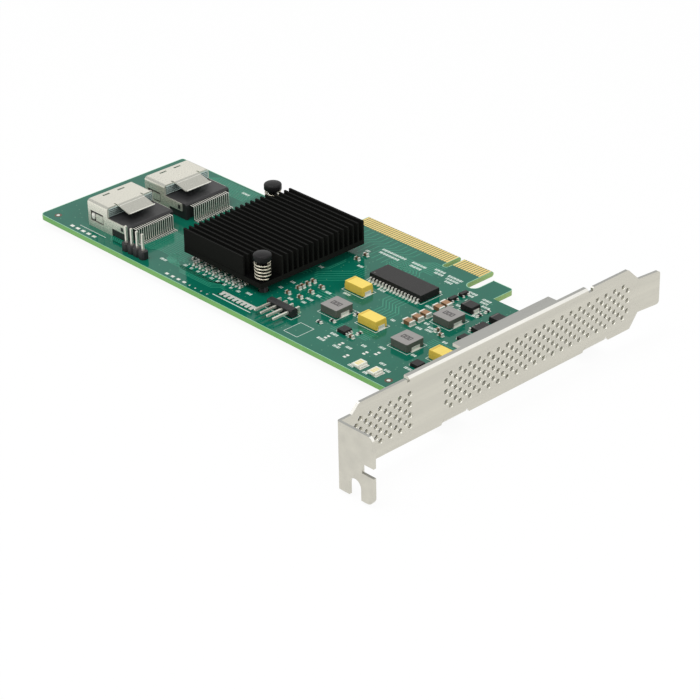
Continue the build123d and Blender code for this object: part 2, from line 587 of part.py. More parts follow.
with BuildPart() as bracket:
    with BuildSketch(Plane.YZ.offset(PLATE_INNER_X)) as plate_sketch:
        add(outline(PLATE_OUTLINE))
        top_corners = plate_sketch.vertices().filter_by_position(Axis.Y, PLATE_Z[1] - 0.1, PLATE_Z[1] + 0.1)
        chamfer(top_corners, 0.3)
    extrude(amount=SHEET)
    # Chassis tongue, tilted out from the plate
    tilt = radians(TONGUE_TILT)
    tongue_plane = Plane(origin=(PLATE_INNER_X, TONGUE_Y, 0), x_dir=(sin(tilt), cos(tilt), 0),
                         z_dir=(cos(tilt), -sin(tilt), 0))
    tongue_length = (TIP_Y - TONGUE_Y) / cos(tilt)
    with BuildSketch(tongue_plane) as tongue_sketch:
        panel((0, tongue_length), TONGUE_Z)
        fillet(tongue_sketch.vertices().group_by(Axis.X)[-1], 1.0)
    extrude(amount=SHEET)
    # Ear that lies on the chassis, with its screw slot and notch
    with BuildSketch(Plane.XZ.offset(-(FOLD_Y + SHEET))) as ear_sketch:
        panel((PLATE_INNER_X, EAR_X), EAR_Z)
        fillet(ear_sketch.vertices().group_by(Axis.X)[-1].sort_by(Axis.Y)[0], 2.6)
        fillet(ear_sketch.vertices().group_by(Axis.X)[-1].sort_by(Axis.Y)[-1], 1.8)
        with Locations((EAR_SLOT_X, EAR_SLOT_TOP - EAR_SLOT_R)):
            Circle(EAR_SLOT_R, mode=Mode.SUBTRACT)
        panel((EAR_SLOT_X - EAR_SLOT_R, EAR_SLOT_X + EAR_SLOT_R),
              (EAR_Z[0] - 1, EAR_SLOT_TOP - EAR_SLOT_R), Mode.SUBTRACT)
        panel(NOTCH_X, NOTCH_Z, Mode.SUBTRACT)
    extrude(amount=SHEET)
    fold_edge = bracket.edges().filter_by(Axis.Z).filter_by_position(Axis.Y, FOLD_Y - 0.01, FOLD_Y + 0.01)
    fillet(fold_edge.sort_by(Axis.X)[0], SHEET * 0.9)
    # Flange over the components
    with BuildSketch(Plane.XZ.offset(-middle(FLANGE_Y))) as flange_section:
        with BuildLine():
            bend_x = PLATE_X - FLANGE_BEND
            bend_z = FLANGE_Z - FLANGE_BEND
            Polyline((PLATE_INNER_X, bend_z), (PLATE_X, bend_z))
            RadiusArc((PLATE_X, bend_z), (bend_x, FLANGE_Z), -FLANGE_BEND)
            Polyline((bend_x, FLANGE_Z), (FLANGE_X, FLANGE_Z), (FLANGE_X, FLANGE_Z - SHEET),
                     (bend_x, FLANGE_Z - SHEET))
            RadiusArc((bend_x, FLANGE_Z - SHEET), (PLATE_INNER_X, bend_z), FLANGE_BEND - SHEET)
        make_face()
    extrude(amount=(FLANGE_Y[1] - FLANGE_Y[0]) / 2, both=True)
    block((FLANGE_X - 1, 60.9), (FLANGE_Y[0] - 1, -63.7), (bend_z, FLANGE_Z + 1), Mode.SUBTRACT)
    block((FLANGE_X - 1, 61.1), (-27.6, FLANGE_Y[1] + 1), (bend_z, FLANGE_Z + 1), Mode.SUBTRACT)
    # Feet that lie on the board and take the screws
    for foot in FOOT_Y:
        with BuildSketch(Plane.XZ.offset(-middle(foot))):
            with BuildLine():
                Polyline((PLATE_INNER_X, FOOT_BEND), (PLATE_X, FOOT_BEND))
                RadiusArc((PLATE_X, FOOT_BEND), (FOOT_PROFILE_X, 0), FOOT_BEND)
                Polyline((FOOT_PROFILE_X, 0), (FOOT_END_X, 0), (FOOT_END_X, SHEET),
                         (FOOT_PROFILE_X, SHEET))
                RadiusArc((FOOT_PROFILE_X, SHEET), (PLATE_INNER_X, FOOT_BEND), -(FOOT_BEND - SHEET))
            make_face()
        extrude(amount=(foot[1] - foot[0]) / 2, both=True)
    with Locations(*[(SCREW_X, middle(foot), SHEET) for foot in FOOT_Y]):
        Hole(SCREW_R + THREAD_CLEARANCE, depth=SHEET)
    # Vents: two staggered fields
    with BuildSketch(Plane.YZ.offset(PLATE_INNER_X)):
        for index in range(VENT_ROWS):
            row_z = VENT_TOP_Z - index * VENT_ROW_STEP
            staggered = index % 2
            main_row = row(20 + staggered, VENT_PITCH, -35.97)
            side_row = row(6, 0.99 * VENT_PITCH, -92.6 - 0.87 * VENT_PITCH * staggered / 2)
            with Locations(*[(y, row_z) for y in main_row + side_row]):
                RegularPolygon(VENT_R, VENT_SIDES)
    extrude(amount=SHEET, mode=Mode.SUBTRACT)
save(bracket.part, "bracket")

# Screws that hold the board to the bracket's feet, driven from the solder side
with BuildPart() as bracket_screws:
    screw_places = [(SCREW_X, middle(foot)) for foot in FOOT_Y]
    with BuildSketch(Plane.XY.offset(BOARD_BOTTOM - SCREW_HEAD_H)):
        with Locations(*screw_places):
            RegularPolygon(SCREW_HEAD_R, SCREW_SIDES)
    extrude(amount=SCREW_HEAD_H)
    with BuildSketch(Plane.XY.offset(BOARD_BOTTOM)):
        with Locations(*screw_places):
            RegularPolygon(SCREW_R, SCREW_SIDES)
    extrude(amount=SHEET + SCREW_END - BOARD_BOTTOM)
save(bracket_screws.part, "bracket_screws")
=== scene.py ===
"""Looks of the storage controller card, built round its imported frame.

The card lies flat, its component side up. Every length is in metres, unless a docstring says
millimetres, in the frame's axes: +X along the card towards the bracket, +Y towards the gold
contacts, +Z out of the board.
"""
import logging
import math
from dataclasses import dataclass, field
from enum import Enum
from typing import Callable, Iterable, Iterator, Optional, Sequence

import bmesh
import bpy
from mathutils import Matrix, Vector


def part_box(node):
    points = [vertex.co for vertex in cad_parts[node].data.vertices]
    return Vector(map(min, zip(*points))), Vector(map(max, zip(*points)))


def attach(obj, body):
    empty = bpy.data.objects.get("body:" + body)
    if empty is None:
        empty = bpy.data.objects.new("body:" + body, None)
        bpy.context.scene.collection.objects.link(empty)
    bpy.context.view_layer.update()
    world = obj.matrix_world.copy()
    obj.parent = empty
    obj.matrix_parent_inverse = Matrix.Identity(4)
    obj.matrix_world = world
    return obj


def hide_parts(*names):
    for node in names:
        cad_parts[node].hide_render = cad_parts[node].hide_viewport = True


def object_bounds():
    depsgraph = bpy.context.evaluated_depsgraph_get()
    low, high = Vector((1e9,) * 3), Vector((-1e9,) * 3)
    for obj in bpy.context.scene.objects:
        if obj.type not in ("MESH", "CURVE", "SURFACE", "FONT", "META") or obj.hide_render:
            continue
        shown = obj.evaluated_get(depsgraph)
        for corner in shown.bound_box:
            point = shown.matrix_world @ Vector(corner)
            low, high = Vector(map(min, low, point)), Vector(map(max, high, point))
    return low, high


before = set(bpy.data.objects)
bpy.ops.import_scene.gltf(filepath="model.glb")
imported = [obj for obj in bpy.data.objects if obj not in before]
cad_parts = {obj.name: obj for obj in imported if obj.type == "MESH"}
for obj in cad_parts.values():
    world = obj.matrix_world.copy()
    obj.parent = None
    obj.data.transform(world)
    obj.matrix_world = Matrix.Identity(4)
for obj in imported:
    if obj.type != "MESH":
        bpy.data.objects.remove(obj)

CAD_LOW, CAD_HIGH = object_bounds()

Colour = tuple[int, int, int]
Point = tuple[float, float, float]
Spot = tuple[float, float]
Box = tuple[Vector, Vector]
Tree = bpy.types.NodeTree
Socket = bpy.types.NodeSocket
Mesh = bpy.types.Mesh

MM = 0.001
BODY = "root"
SIDES = ("near", "far")
CHIP_PARTS = ("chip_resistors", "chip_capacitors", "array_capacitors")
BOARD_BACK = -1.57 * MM
SKIN = 0.012 * MM
WELD = 0.001 * MM
QUARTER = math.radians(90)
FLAT_ANGLE = math.radians(1)
SHARP_ANGLE = math.radians(25)
LOG = logging.getLogger("controller_card")


# ---- nodes


def connect(tree: Tree, socket: Socket, value: object) -> None:
    """Fill a node's input.

    Args:
        tree: Tree that has the node.
        socket: The input.
        value: An output or a list of outputs to link, or a plain value.
    """
    sources = value if isinstance(value, list) else [value]
    if isinstance(sources[0], Socket):
        for source in sources:
            tree.links.new(source, socket)
    else:
        socket.default_value = value


def put(tree: Tree, kind: str, settings: Optional[dict] = None, *ordered: object,
        **named: object) -> Socket:
    """Add a node to a tree.

    Args:
        tree: Tree that takes the node.
        kind: Type of the node.
        settings: Settings of the node itself.
        ordered: Values or output sockets for its inputs, in their order.
        named: The same for inputs by name, with underscores for spaces.

    Returns:
        The node's first output.
    """
    node = tree.nodes.new(kind)
    for key, setting in (settings or {}).items():
        setattr(node, key, setting)
    for socket, value in zip(node.inputs, ordered):
        connect(tree, socket, value)
    for key, value in named.items():
        connect(tree, node.inputs[key.replace("_", " ")], value)
    return node.outputs[0]


def blend(tree: Tree, factor: Socket, first: object, second: object, mode: str = "MIX") -> Socket:
    """Add a node that blends two colours.

    Args:
        tree: Tree that takes the node.
        factor: Output with the share of the second colour.
        first: First colour, with its alpha, or an output.
        second: Second colour, in the same form.
        mode: Way of blending.

    Returns:
        The blended colour's output.
    """
    node = put(tree, "ShaderNodeMix", {"data_type": "RGBA", "blend_type": mode}, factor).node
    inputs = [socket for socket in node.inputs if socket.type == "RGBA"]
    connect(tree, inputs[0], first)
    connect(tree, inputs[1], second)
    return next(socket for socket in node.outputs if socket.type == "RGBA")


# ---- finishes


class Slot(Enum):
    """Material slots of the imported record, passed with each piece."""

    MASK = "solder_mask"
    GOLD = "gold"
    SINK = "black_anodised"
    PIN = "push_pin_plastic"
    SPRING = "spring_wire"
    CAGE = "cage_metal"
    HOUSING = "black_housing"
    LEAD = "tinned_leads"
    HEADER = "header_plastic"
    PACKAGE = "black_package"
    TANTALUM = "tantalum_yellow"
    FERRITE = "ferrite"
    LAMP = "lamp_resin"
    SCREW = "screw_steel"
    BRACKET = "bracket_steel"


def linear(colour: Colour) -> Point:
    """Turn a colour as seen on a screen into the linear one that shaders use.

    Args:
        colour: Red, green and blue, 0 to 255.

    Returns:
        The same colour on the linear scale of 0 to 1, by the usual screen curve.
    """
    levels = [value / 255 for value in colour]
    return tuple(level / 12.92 if level <= 0.04045 else ((level + 0.055) / 1.055) ** 2.4
                 for level in levels)


@dataclass(frozen=True)
class Finish:
    """A surface finish with its colour drift, gloss drift and fine relief.

    Colours are those seen on a screen, 0 to 255, and sizes are in millimetres.

    Attributes:
        name: Name of the material.
        colour: Main colour.
        drift: Colour that the main one drifts to in patches.
        roughness: Lowest and highest roughness over the surface.
        metallic: 1 for bare metal, 0 for anything else.
        grain: Size of the fine relief.
        stretch: How far the grain is drawn out along each axis.
        relief: Strength of the fine relief, 0 to 1.
        slope: Colour of gently sloped faces, where they differ; on some finishes painted light or
            painted shade.
        edge: Colour of upright faces, where they differ; on some finishes painted light.
        flank: Colour of faces that look along Y, where they differ; on some finishes painted shade.
        shine: Strength of the clear reflection on what isn't metal.
        bend: Refractive index of the surface, near 1 for one that hardly reflects.
        patch: Size of the colour patches.
    """

    name: str
    colour: Colour
    drift: Colour
    roughness: Spot
    metallic: float = 0.0
    grain: float = 0.1
    stretch: Point = (1.0, 1.0, 1.0)
    relief: float = 0.05
    slope: Optional[Colour] = None
    edge: Optional[Colour] = None
    flank: Optional[Colour] = None
    shine: float = 0.5
    bend: float = 1.5
    patch: float = 1.0

    def build(self) -> bpy.types.Material:
        """Make the node material.

        Returns:
            The finished material.
        """
        material = bpy.data.materials.new("look_" + self.name)
        material.use_nodes = True
        tree = material.node_tree
        place = put(tree, "ShaderNodeTexCoord").node.outputs
        mapping = put(tree, "ShaderNodeMapping", Vector=place["Object"],
                      Scale=tuple(1 / side for side in self.stretch))

        def noise(size: float, detail: float) -> Socket:
            """Add a noise pattern with features of a size in millimetres."""
            return put(tree, "ShaderNodeTexNoise", Vector=mapping, Scale=1 / (size * MM),
                       Detail=detail)

        main = linear(self.colour)
        colour = (*main, 1)
        # Colours by face direction; on some finishes these paint light and shade onto faces by the way
        # they look.
        for tilted, axis, full, flat in ((self.slope, "Z", 0.975, 0.995), (self.edge, "Z", 0.45, 0.6),
                                         (self.flank, "Y", 0.8, 0.6)):
            if tilted is not None:
                parts = put(tree, "ShaderNodeSeparateXYZ", Vector=place["Normal"]).node.outputs
                size = put(tree, "ShaderNodeMath", {"operation": "ABSOLUTE"}, parts[axis])
                step = put(tree, "ShaderNodeMapRange", Value=size, From_Min=full, From_Max=flat)
                colour = blend(tree, step, (*linear(tilted), 1), colour)
        share = [min(low / max(high, 1e-4), 1) for low, high in zip(linear(self.drift), main)]
        fine = noise(self.grain, 2.0)
        gloss = put(tree, "ShaderNodeMapRange", Value=fine, From_Min=0.3, From_Max=0.7,
                    To_Min=self.roughness[0], To_Max=self.roughness[1])
        bump = put(tree, "ShaderNodeBump", Height=fine, Strength=self.relief,
                   Distance=self.grain * MM)
        shader = {"Base Color": blend(tree, noise(self.patch, 3.0), colour, (*share, 1), "MULTIPLY"),
                  "Metallic": self.metallic, "Roughness": gloss, "Normal": bump,
                  "Specular IOR Level": self.shine, "IOR": self.bend}
        for name, value in shader.items():
            connect(tree, tree.nodes["Principled BSDF"].inputs[name], value)
        return material


class Look(Enum):
    """Every finish on the card."""

    MASK = Finish("green_solder_mask", (12, 106, 85), (6, 92, 74), (0.07, 0.12), grain=0.5,
                  relief=0.02, edge=(174, 196, 124), flank=(132, 184, 100), shine=0.2, patch=12)
    # Pale strip along the board's upper edge: a painted highlight.
    EDGE_HIGHLIGHT = Finish("painted_edge_highlight", (150, 204, 172), (128, 188, 152), (0.2, 0.3), grain=0.2, patch=6)
    TRACE = Finish("masked_copper", (54, 148, 120), (42, 134, 106), (0.07, 0.12), grain=0.5,
                   relief=0.02, shine=0.2, patch=4)
    SILK = Finish("white_print", (224, 234, 226), (200, 214, 204), (0.45, 0.6), relief=0.1)
    SOLDER = Finish("tinned_pad", (238, 239, 230), (216, 218, 210), (0.22, 0.38), metallic=0.35,
                    grain=0.3, relief=0.15, patch=1.5)
    # Dark discs beside some open pads: painted shade standing for holes.
    HOLE_SHADE = Finish("painted_hole_shade", (24, 30, 26), (16, 20, 18), (0.7, 0.8), shine=0.1)
    VIA = Finish("via_ring", (96, 158, 128), (52, 126, 98), (0.12, 0.2), grain=0.2, patch=5)
    GOLD = Finish("gold_plate", (242, 214, 138), (228, 196, 116), (0.18, 0.3), metallic=0.85,
                  grain=0.15, stretch=(1, 6, 1), relief=0.1, patch=3)
    # Upright faces lighter than the tops: painted light by the way each face looks.
    SINK = Finish("anodised_fins", (13, 13, 13), (9, 9, 9), (0.36, 0.5), grain=0.12,
                  stretch=(14, 1, 1), relief=0.06, edge=(33, 33, 31), bend=1.06, patch=6)
    # Pale strips on the fins' upper edges: a painted highlight.
    FIN_HIGHLIGHT = Finish("painted_fin_highlight", (52, 52, 50), (38, 38, 36), (0.36, 0.5), grain=0.12,
                       bend=1.06, patch=3)
    PIN = Finish("black_nylon", (36, 35, 35), (28, 27, 28), (0.3, 0.4), bend=1.2, patch=4)
    SPRING = Finish("bright_wire", (204, 198, 180), (176, 170, 154), (0.16, 0.26), metallic=0.95)
    # Sloped faces darker and upright faces lighter than the top: painted shade and painted light by the
    # way each face looks.
    CAGE = Finish("tin_plate", (218, 215, 202), (206, 204, 192), (0.22, 0.36), metallic=0.6,
                  grain=0.06, stretch=(12, 1, 1), slope=(182, 181, 171), edge=(232, 230, 216),
                  patch=5)
    FLUTE = Finish("fluted_spring", (186, 200, 196), (150, 168, 164), (0.2, 0.3), metallic=0.8,
                   grain=0.06, patch=2)
    HOUSING = Finish("black_moulding", (44, 43, 44), (34, 34, 35), (0.36, 0.5), grain=0.06,
                     relief=0.12, shine=0.4, patch=4)
    LEAD = Finish("tinned_lead", (240, 239, 230), (222, 221, 212), (0.24, 0.36), metallic=0.2,
                  relief=0.08)
    # Faces that look along Y near black: painted shade between the leads.
    PORT_LEAD = Finish("port_lead", (232, 231, 220), (212, 211, 202), (0.24, 0.36), metallic=0.35,
                       relief=0.08, flank=(38, 37, 36))
    HEADER = Finish("header_moulding", (36, 36, 37), (28, 28, 29), (0.4, 0.52), grain=0.08,
                    relief=0.1, shine=0.35, patch=4)
    HEADER_PIN = Finish("tinned_pin", (228, 226, 214), (206, 204, 192), (0.18, 0.28), metallic=0.6)
    PACKAGE = Finish("epoxy_package", (42, 41, 40), (34, 33, 32), (0.42, 0.58), grain=0.05,
                     relief=0.2, edge=(22, 21, 21), shine=0.26, patch=2)
    PRINT = Finish("pale_mark", (104, 100, 96), (84, 82, 80), (0.5, 0.6), grain=0.08)
    TANTALUM = Finish("yellow_case", (244, 218, 100), (236, 206, 86), (0.3, 0.4), grain=0.08,
                      relief=0.08, edge=(236, 204, 84), patch=2)
    POLARITY = Finish("ochre_bar", (222, 186, 74), (210, 174, 64), (0.4, 0.5), grain=0.08)
    FERRITE = Finish("pressed_ferrite", (150, 147, 144), (138, 135, 132), (0.42, 0.55), grain=0.08,
                     relief=0.25, edge=(88, 92, 84), patch=1.5)
    FERRITE_MARK = Finish("dark_mark", (58, 54, 55), (46, 44, 45), (0.5, 0.6), grain=0.08)
    CERAMIC = Finish("brown_ceramic", (160, 118, 78), (140, 100, 66), (0.35, 0.45),
                     edge=(132, 98, 66))
    BARE = Finish("bare_laminate", (92, 70, 52), (78, 58, 44), (0.3, 0.4), shine=0.3)
    LAMP = Finish("lamp_case", (236, 236, 224), (226, 226, 212), (0.2, 0.3))
    LAMP_CORE = Finish("lamp_core", (236, 222, 160), (222, 206, 140), (0.15, 0.25), patch=0.6)
    RESISTOR = Finish("resistor_glaze", (36, 35, 36), (26, 26, 27), (0.2, 0.3), patch=0.5)
    CAPACITOR = Finish("brown_chip", (118, 88, 60), (96, 70, 48), (0.3, 0.4), patch=0.8)
    SCREW = Finish("zinc_plate", (190, 190, 192), (172, 174, 178), (0.22, 0.34), metallic=1.0)
    # Upright plate lighter than the flat flange, sloped bends lighter still: painted light by the way
    # each face looks.
    BRACKET = Finish("plated_steel", (172, 172, 166), (152, 152, 148), (0.3, 0.42), metallic=0.9,
                     grain=0.08, stretch=(1, 16, 1), relief=0.1, slope=(250, 248, 240),
                     edge=(214, 211, 198), patch=3)
    # Bright finish of the vents' walls and of the pale rings at their backs: painted light.
    VENT = Finish("vent_wall", (238, 236, 226), (224, 222, 210), (0.25, 0.35), metallic=0.5,
                  grain=0.08)
    # Dark finish of the ring at each vent's back that narrows the opening: painted shade.
    VENT_SHADE = Finish("painted_vent_shade", (92, 92, 84), (72, 72, 66), (0.5, 0.6), grain=0.08, shine=0.2)
    SUBSTRATE = Finish("green_substrate", (24, 88, 52), (20, 78, 46), (0.3, 0.4), patch=4)
    LID = Finish("lid_metal", (190, 190, 190), (175, 175, 176), (0.3, 0.4), metallic=1.0, patch=4)
    PAD = Finish("pad_rubber", (120, 122, 124), (104, 106, 108), (0.6, 0.7), grain=0.2, shine=0.2,
                 patch=4)

    def material(self) -> bpy.types.Material:
        """Return the look's material, made the first time it is asked for."""
        return bpy.data.materials.get("look_" + self.value.name) or self.value.build()


# ---- mesh helpers


def placed(name: str, data: object) -> bpy.types.Object:
    """Make an object and put it in the scene.

    Args:
        name: Name of the object.
        data: Its mesh, camera or lamp.

    Returns:
        The object.
    """
    made = bpy.data.objects.new(name, data)
    bpy.context.scene.collection.objects.link(made)
    return made


def add_piece(name: str, mesh: Mesh, look: Look, slot: Slot, instead_of: Iterable[str] = ()) -> None:
    """Put a finished mesh on the card.

    Args:
        name: Name of the piece.
        mesh: Its mesh, in the frame's place.
        look: Its finish.
        slot: Record slot that the finish belongs to; not used.
        instead_of: Frame nodes that the piece stands for.
    """
    piece = placed(name, mesh)
    if not mesh.materials:
        mesh.materials.append(look.material())
    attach(piece, BODY)
    replaced = list(instead_of)
    if replaced:
        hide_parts(*replaced)
    LOG.info("%s: %d faces", name, len(mesh.polygons))


def numbered(stem: str, count: int) -> list[str]:
    """Return the names of nodes that differ only in their number, from 1 up."""
    return [f"{stem}_{number}" for number in range(1, count + 1)]


def on_top(high: Vector) -> Spot:
    """Return the lowest and highest level of a thin mark on a part, from its highest corner."""
    return high.z - SKIN, high.z + SKIN / 2


def middle(low: Vector, high: Vector) -> Spot:
    """Return where the upright middle line of a box stands."""
    return (low.x + high.x) / 2, (low.y + high.y) / 2


@dataclass
class Solids:
    """Closed solids gathered into one mesh."""

    mesh: bmesh.types.BMesh = field(default_factory=bmesh.new)

    def prism(self, outline: Sequence[Spot], low: float, high: float) -> None:
        """Add an upright prism.

        Args:
            outline: Corners seen from above, anticlockwise.
            low: Height of its underside.
            high: Height of its top.
        """
        floor = [self.mesh.verts.new((x, y, low)) for x, y in outline]
        roof = [self.mesh.verts.new((x, y, high)) for x, y in outline]
        self.mesh.faces.new(floor[::-1])
        self.mesh.faces.new(roof)
        for index in range(len(outline)):
            after = (index + 1) % len(outline)
            self.mesh.faces.new((floor[index], floor[after], roof[after], roof[index]))

    def box(self, low: Sequence[float], high: Sequence[float]) -> None:
        """Add a box between two corners."""
        self.prism([(low[0], low[1]), (high[0], low[1]), (high[0], high[1]), (low[0], high[1])],
                   low[2], high[2])

    def plate(self, low_x: float, low_y: float, high_x: float, high_y: float, skins: float) -> None:
        """Lay a thin plate on the board, its sides in millimetres and its thickness in skins."""
        self.box((low_x * MM, low_y * MM, 0), (high_x * MM, high_y * MM, SKIN * skins))

    def ribbon(self, path: Sequence[Spot], width: float, low: float, high: float,
               closed: bool = False) -> None:
        """Add a flat ribbon of even width along a path.

        Args:
            path: Points of the middle line.
            width: Width of the ribbon.
            low: Height of its underside.
            high: Height of its top.
            closed: Whether the last point joins the first.
        """
        points = [Vector(point) for point in path]
        count = len(points)
        spans = count if closed else count - 1
        steps = [(points[(index + 1) % count] - points[index]).normalized() for index in range(spans)]
        sides = [Vector((-step.y, step.x)) for step in steps]
        rims = []
        for index, point in enumerate(points):
            before = sides[index - 1] if closed or index else sides[0]
            after = sides[index % spans] if closed or index < spans else sides[-1]
            shift = (before + after) * (width / 2 / (1 + before.dot(after)))
            rims.append([self.mesh.verts.new((*(point + side * shift), height))
                         for side, height in ((1, low), (-1, low), (-1, high), (1, high))])
        for index in range(spans):
            here, there = rims[index], rims[(index + 1) % count]
            for corner in range(4):
                other = (corner + 1) % 4
                self.mesh.faces.new((here[corner], there[corner], there[other], here[other]))
        if not closed:
            self.mesh.faces.new(rims[0])
            self.mesh.faces.new(rims[-1][::-1])

    def lathe(self, profile: Sequence[Spot], axis: Spot, steps: int = 40) -> None:
        """Add a turned solid about an upright axis.

        Args:
            profile: Radius and height pairs from the bottom of the axis to its top.
            axis: Where the axis stands.
            steps: Number of facets round it.
        """
        rings = []
        for radius, height in profile:
            if radius <= 0:
                rings.append([self.mesh.verts.new((*axis, height))])
                continue
            turns = [2 * math.pi * step / steps for step in range(steps)]
            rings.append([self.mesh.verts.new((axis[0] + radius * math.cos(turn),
                                               axis[1] + radius * math.sin(turn), height))
                          for turn in turns])
        for lower, upper in zip(rings, rings[1:]):
            for step in range(steps):
                after = (step + 1) % steps
                corners = [lower[step % len(lower)], lower[after % len(lower)],
                           upper[after % len(upper)], upper[step % len(upper)]]
                self.mesh.faces.new(list(dict.fromkeys(corners)))

    def disc(self, radius: float, low: float, high: float, axis: Spot, steps: int = 40) -> None:
        """Add a round plate, given its radius, its two heights, its axis and its facets."""
        self.lathe([(0, low), (radius, low), (radius, high), (0, high)], axis, steps)

    def finish(self, name: str) -> Mesh:
        """Close the solids into one mesh with its faces pointing outwards.

        Args:
            name: Name of the mesh.

        Returns:
            The mesh.
        """
        bmesh.ops.recalc_face_normals(self.mesh, faces=self.mesh.faces)
        mesh = bpy.data.meshes.new(name)
        self.mesh.to_mesh(mesh)
        self.mesh.free()
        return mesh

    def add(self, name: str, look: Look, slot: Slot, instead_of: Iterable[str] = ()) -> None:
        """Put the solids on the card as one piece of a name and look."""
        add_piece(name, self.finish(name), look, slot, instead_of)


def merged(node: str, flatten: bool = False) -> bmesh.types.BMesh:
    """Copy a frame node's mesh with its loose triangles joined.

    Args:
        node: Name of the node.
        flatten: Whether triangles in one plane become one face.

    Returns:
        The joined copy.
    """
    copy = bmesh.new()
    copy.from_mesh(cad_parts[node].data)
    bmesh.ops.remove_doubles(copy, verts=copy.verts, dist=WELD)
    if flatten:
        bmesh.ops.dissolve_limit(copy, angle_limit=FLAT_ANGLE, verts=copy.verts, edges=copy.edges)
    return copy


def flat_copy(node: str, name: str) -> Mesh:
    """Copy a frame node's mesh with its plane faces whole.

    Args:
        node: Name of the node.
        name: Name of the copy.

    Returns:
        The copy.
    """
    copy = merged(node, flatten=True)
    mesh = bpy.data.meshes.new(name)
    copy.to_mesh(mesh)
    copy.free()
    return mesh


def solids_of(node: str) -> list[Box]:
    """Find the box of each separate solid in a frame node.

    Args:
        node: Name of the node.

    Returns:
        Lowest and highest corner of each solid.
    """
    copy = merged(node)
    unseen = set(copy.verts)
    boxes = []
    while unseen:
        front = [unseen.pop()]
        low, high = front[0].co.copy(), front[0].co.copy()
        while front:
            vertex = front.pop()
            low = Vector(map(min, low, vertex.co))
            high = Vector(map(max, high, vertex.co))
            for edge in vertex.link_edges:
                other = edge.other_vert(vertex)
                if other in unseen:
                    unseen.remove(other)
                    front.append(other)
        boxes.append((low, high))
    copy.free()
    return sorted(boxes, key=lambda pair: tuple(round(value, 6) for value in pair[0]))


def chip_ends(inner: float, outer: float, across: float) -> Iterator[tuple[list, list]]:
    """Go over both ends of every small chip part.

    Args:
        inner: How far an end's box reaches into the part.
        outer: How far it reaches out past the part's end.
        across: How far it reaches out past the part's sides.

    Yields:
        Lowest and highest corner of the end's box, from the board to the part's top.
    """
    for node in CHIP_PARTS:
        for low, high in solids_of(node):
            along = 0 if high.x - low.x > high.y - low.y else 1
            for end in (0, 1):
                first = [low.x - across, low.y - across, 0.0]
                last = [high.x + across, high.y + across, high.z]
                first[along] = high[along] - inner if end else low[along] - outer
                last[along] = high[along] + outer if end else low[along] + inner
                yield first, last


def edge_strips(node: str, level: float, width: float,
                wanted: Callable[[Vector, Vector], bool]) -> Solids:
    """Lay thin strips on a frame node along the upper edges of its upright faces.

    Args:
        node: Name of the node.
        level: Height of the edges.
        width: Width of a strip.
        wanted: Test of an edge, from one of its ends and the way its upright face looks.

    Returns:
        The strips.
    """
    body = merged(node, flatten=True)
    body.normal_update()
    strips = Solids()
    for edge in body.edges:
        first, last = (vertex.co for vertex in edge.verts)
        if max(abs(first.z - level), abs(last.z - level)) > WELD or len(edge.link_faces) != 2:
            continue
        top, side = sorted(edge.link_faces, key=lambda face: -face.normal.z)
        if top.normal.z < 0.9 or abs(side.normal.z) > 0.1 or not wanted(first, side.normal):
            continue
        shift = -side.normal * width
        strips.prism([(spot.x, spot.y) for spot in (first, last, last + shift, first + shift)],
                     level - SKIN, level + SKIN * 1.5)
    body.free()
    return strips


def settled(carrier: bpy.types.Object) -> Mesh:
    """Turn an object with its modifiers into a plain mesh and remove the object.

    Args:
        carrier: Object that holds the modifiers.

    Returns:
        The evaluated mesh, under the object's name.
    """
    name = carrier.name
    bpy.context.view_layer.update()
    graph = bpy.context.evaluated_depsgraph_get()
    mesh = bpy.data.meshes.new_from_object(carrier.evaluated_get(graph))
    carrier.modifiers.clear()
    bpy.data.objects.remove(carrier)
    mesh.name = name
    return mesh


def softened(node: str, look: Look, slot: Slot, width: float) -> None:
    """Replace a moulded node with a copy whose edges are rounded.

    Args:
        node: Name of the node.
        look: Its finish.
        slot: Record slot that the finish belongs to.
        width: Width of the rounding, in millimetres.
    """
    carrier = placed("soft_" + node, flat_copy(node, node + "_soft"))
    bevel = carrier.modifiers.new("rounding", "BEVEL")
    bevel.width = width * MM
    bevel.segments = 2
    bevel.limit_method = "ANGLE"
    bevel.angle_limit = SHARP_ANGLE
    add_piece("soft_" + node, settled(carrier), look, slot, [node])


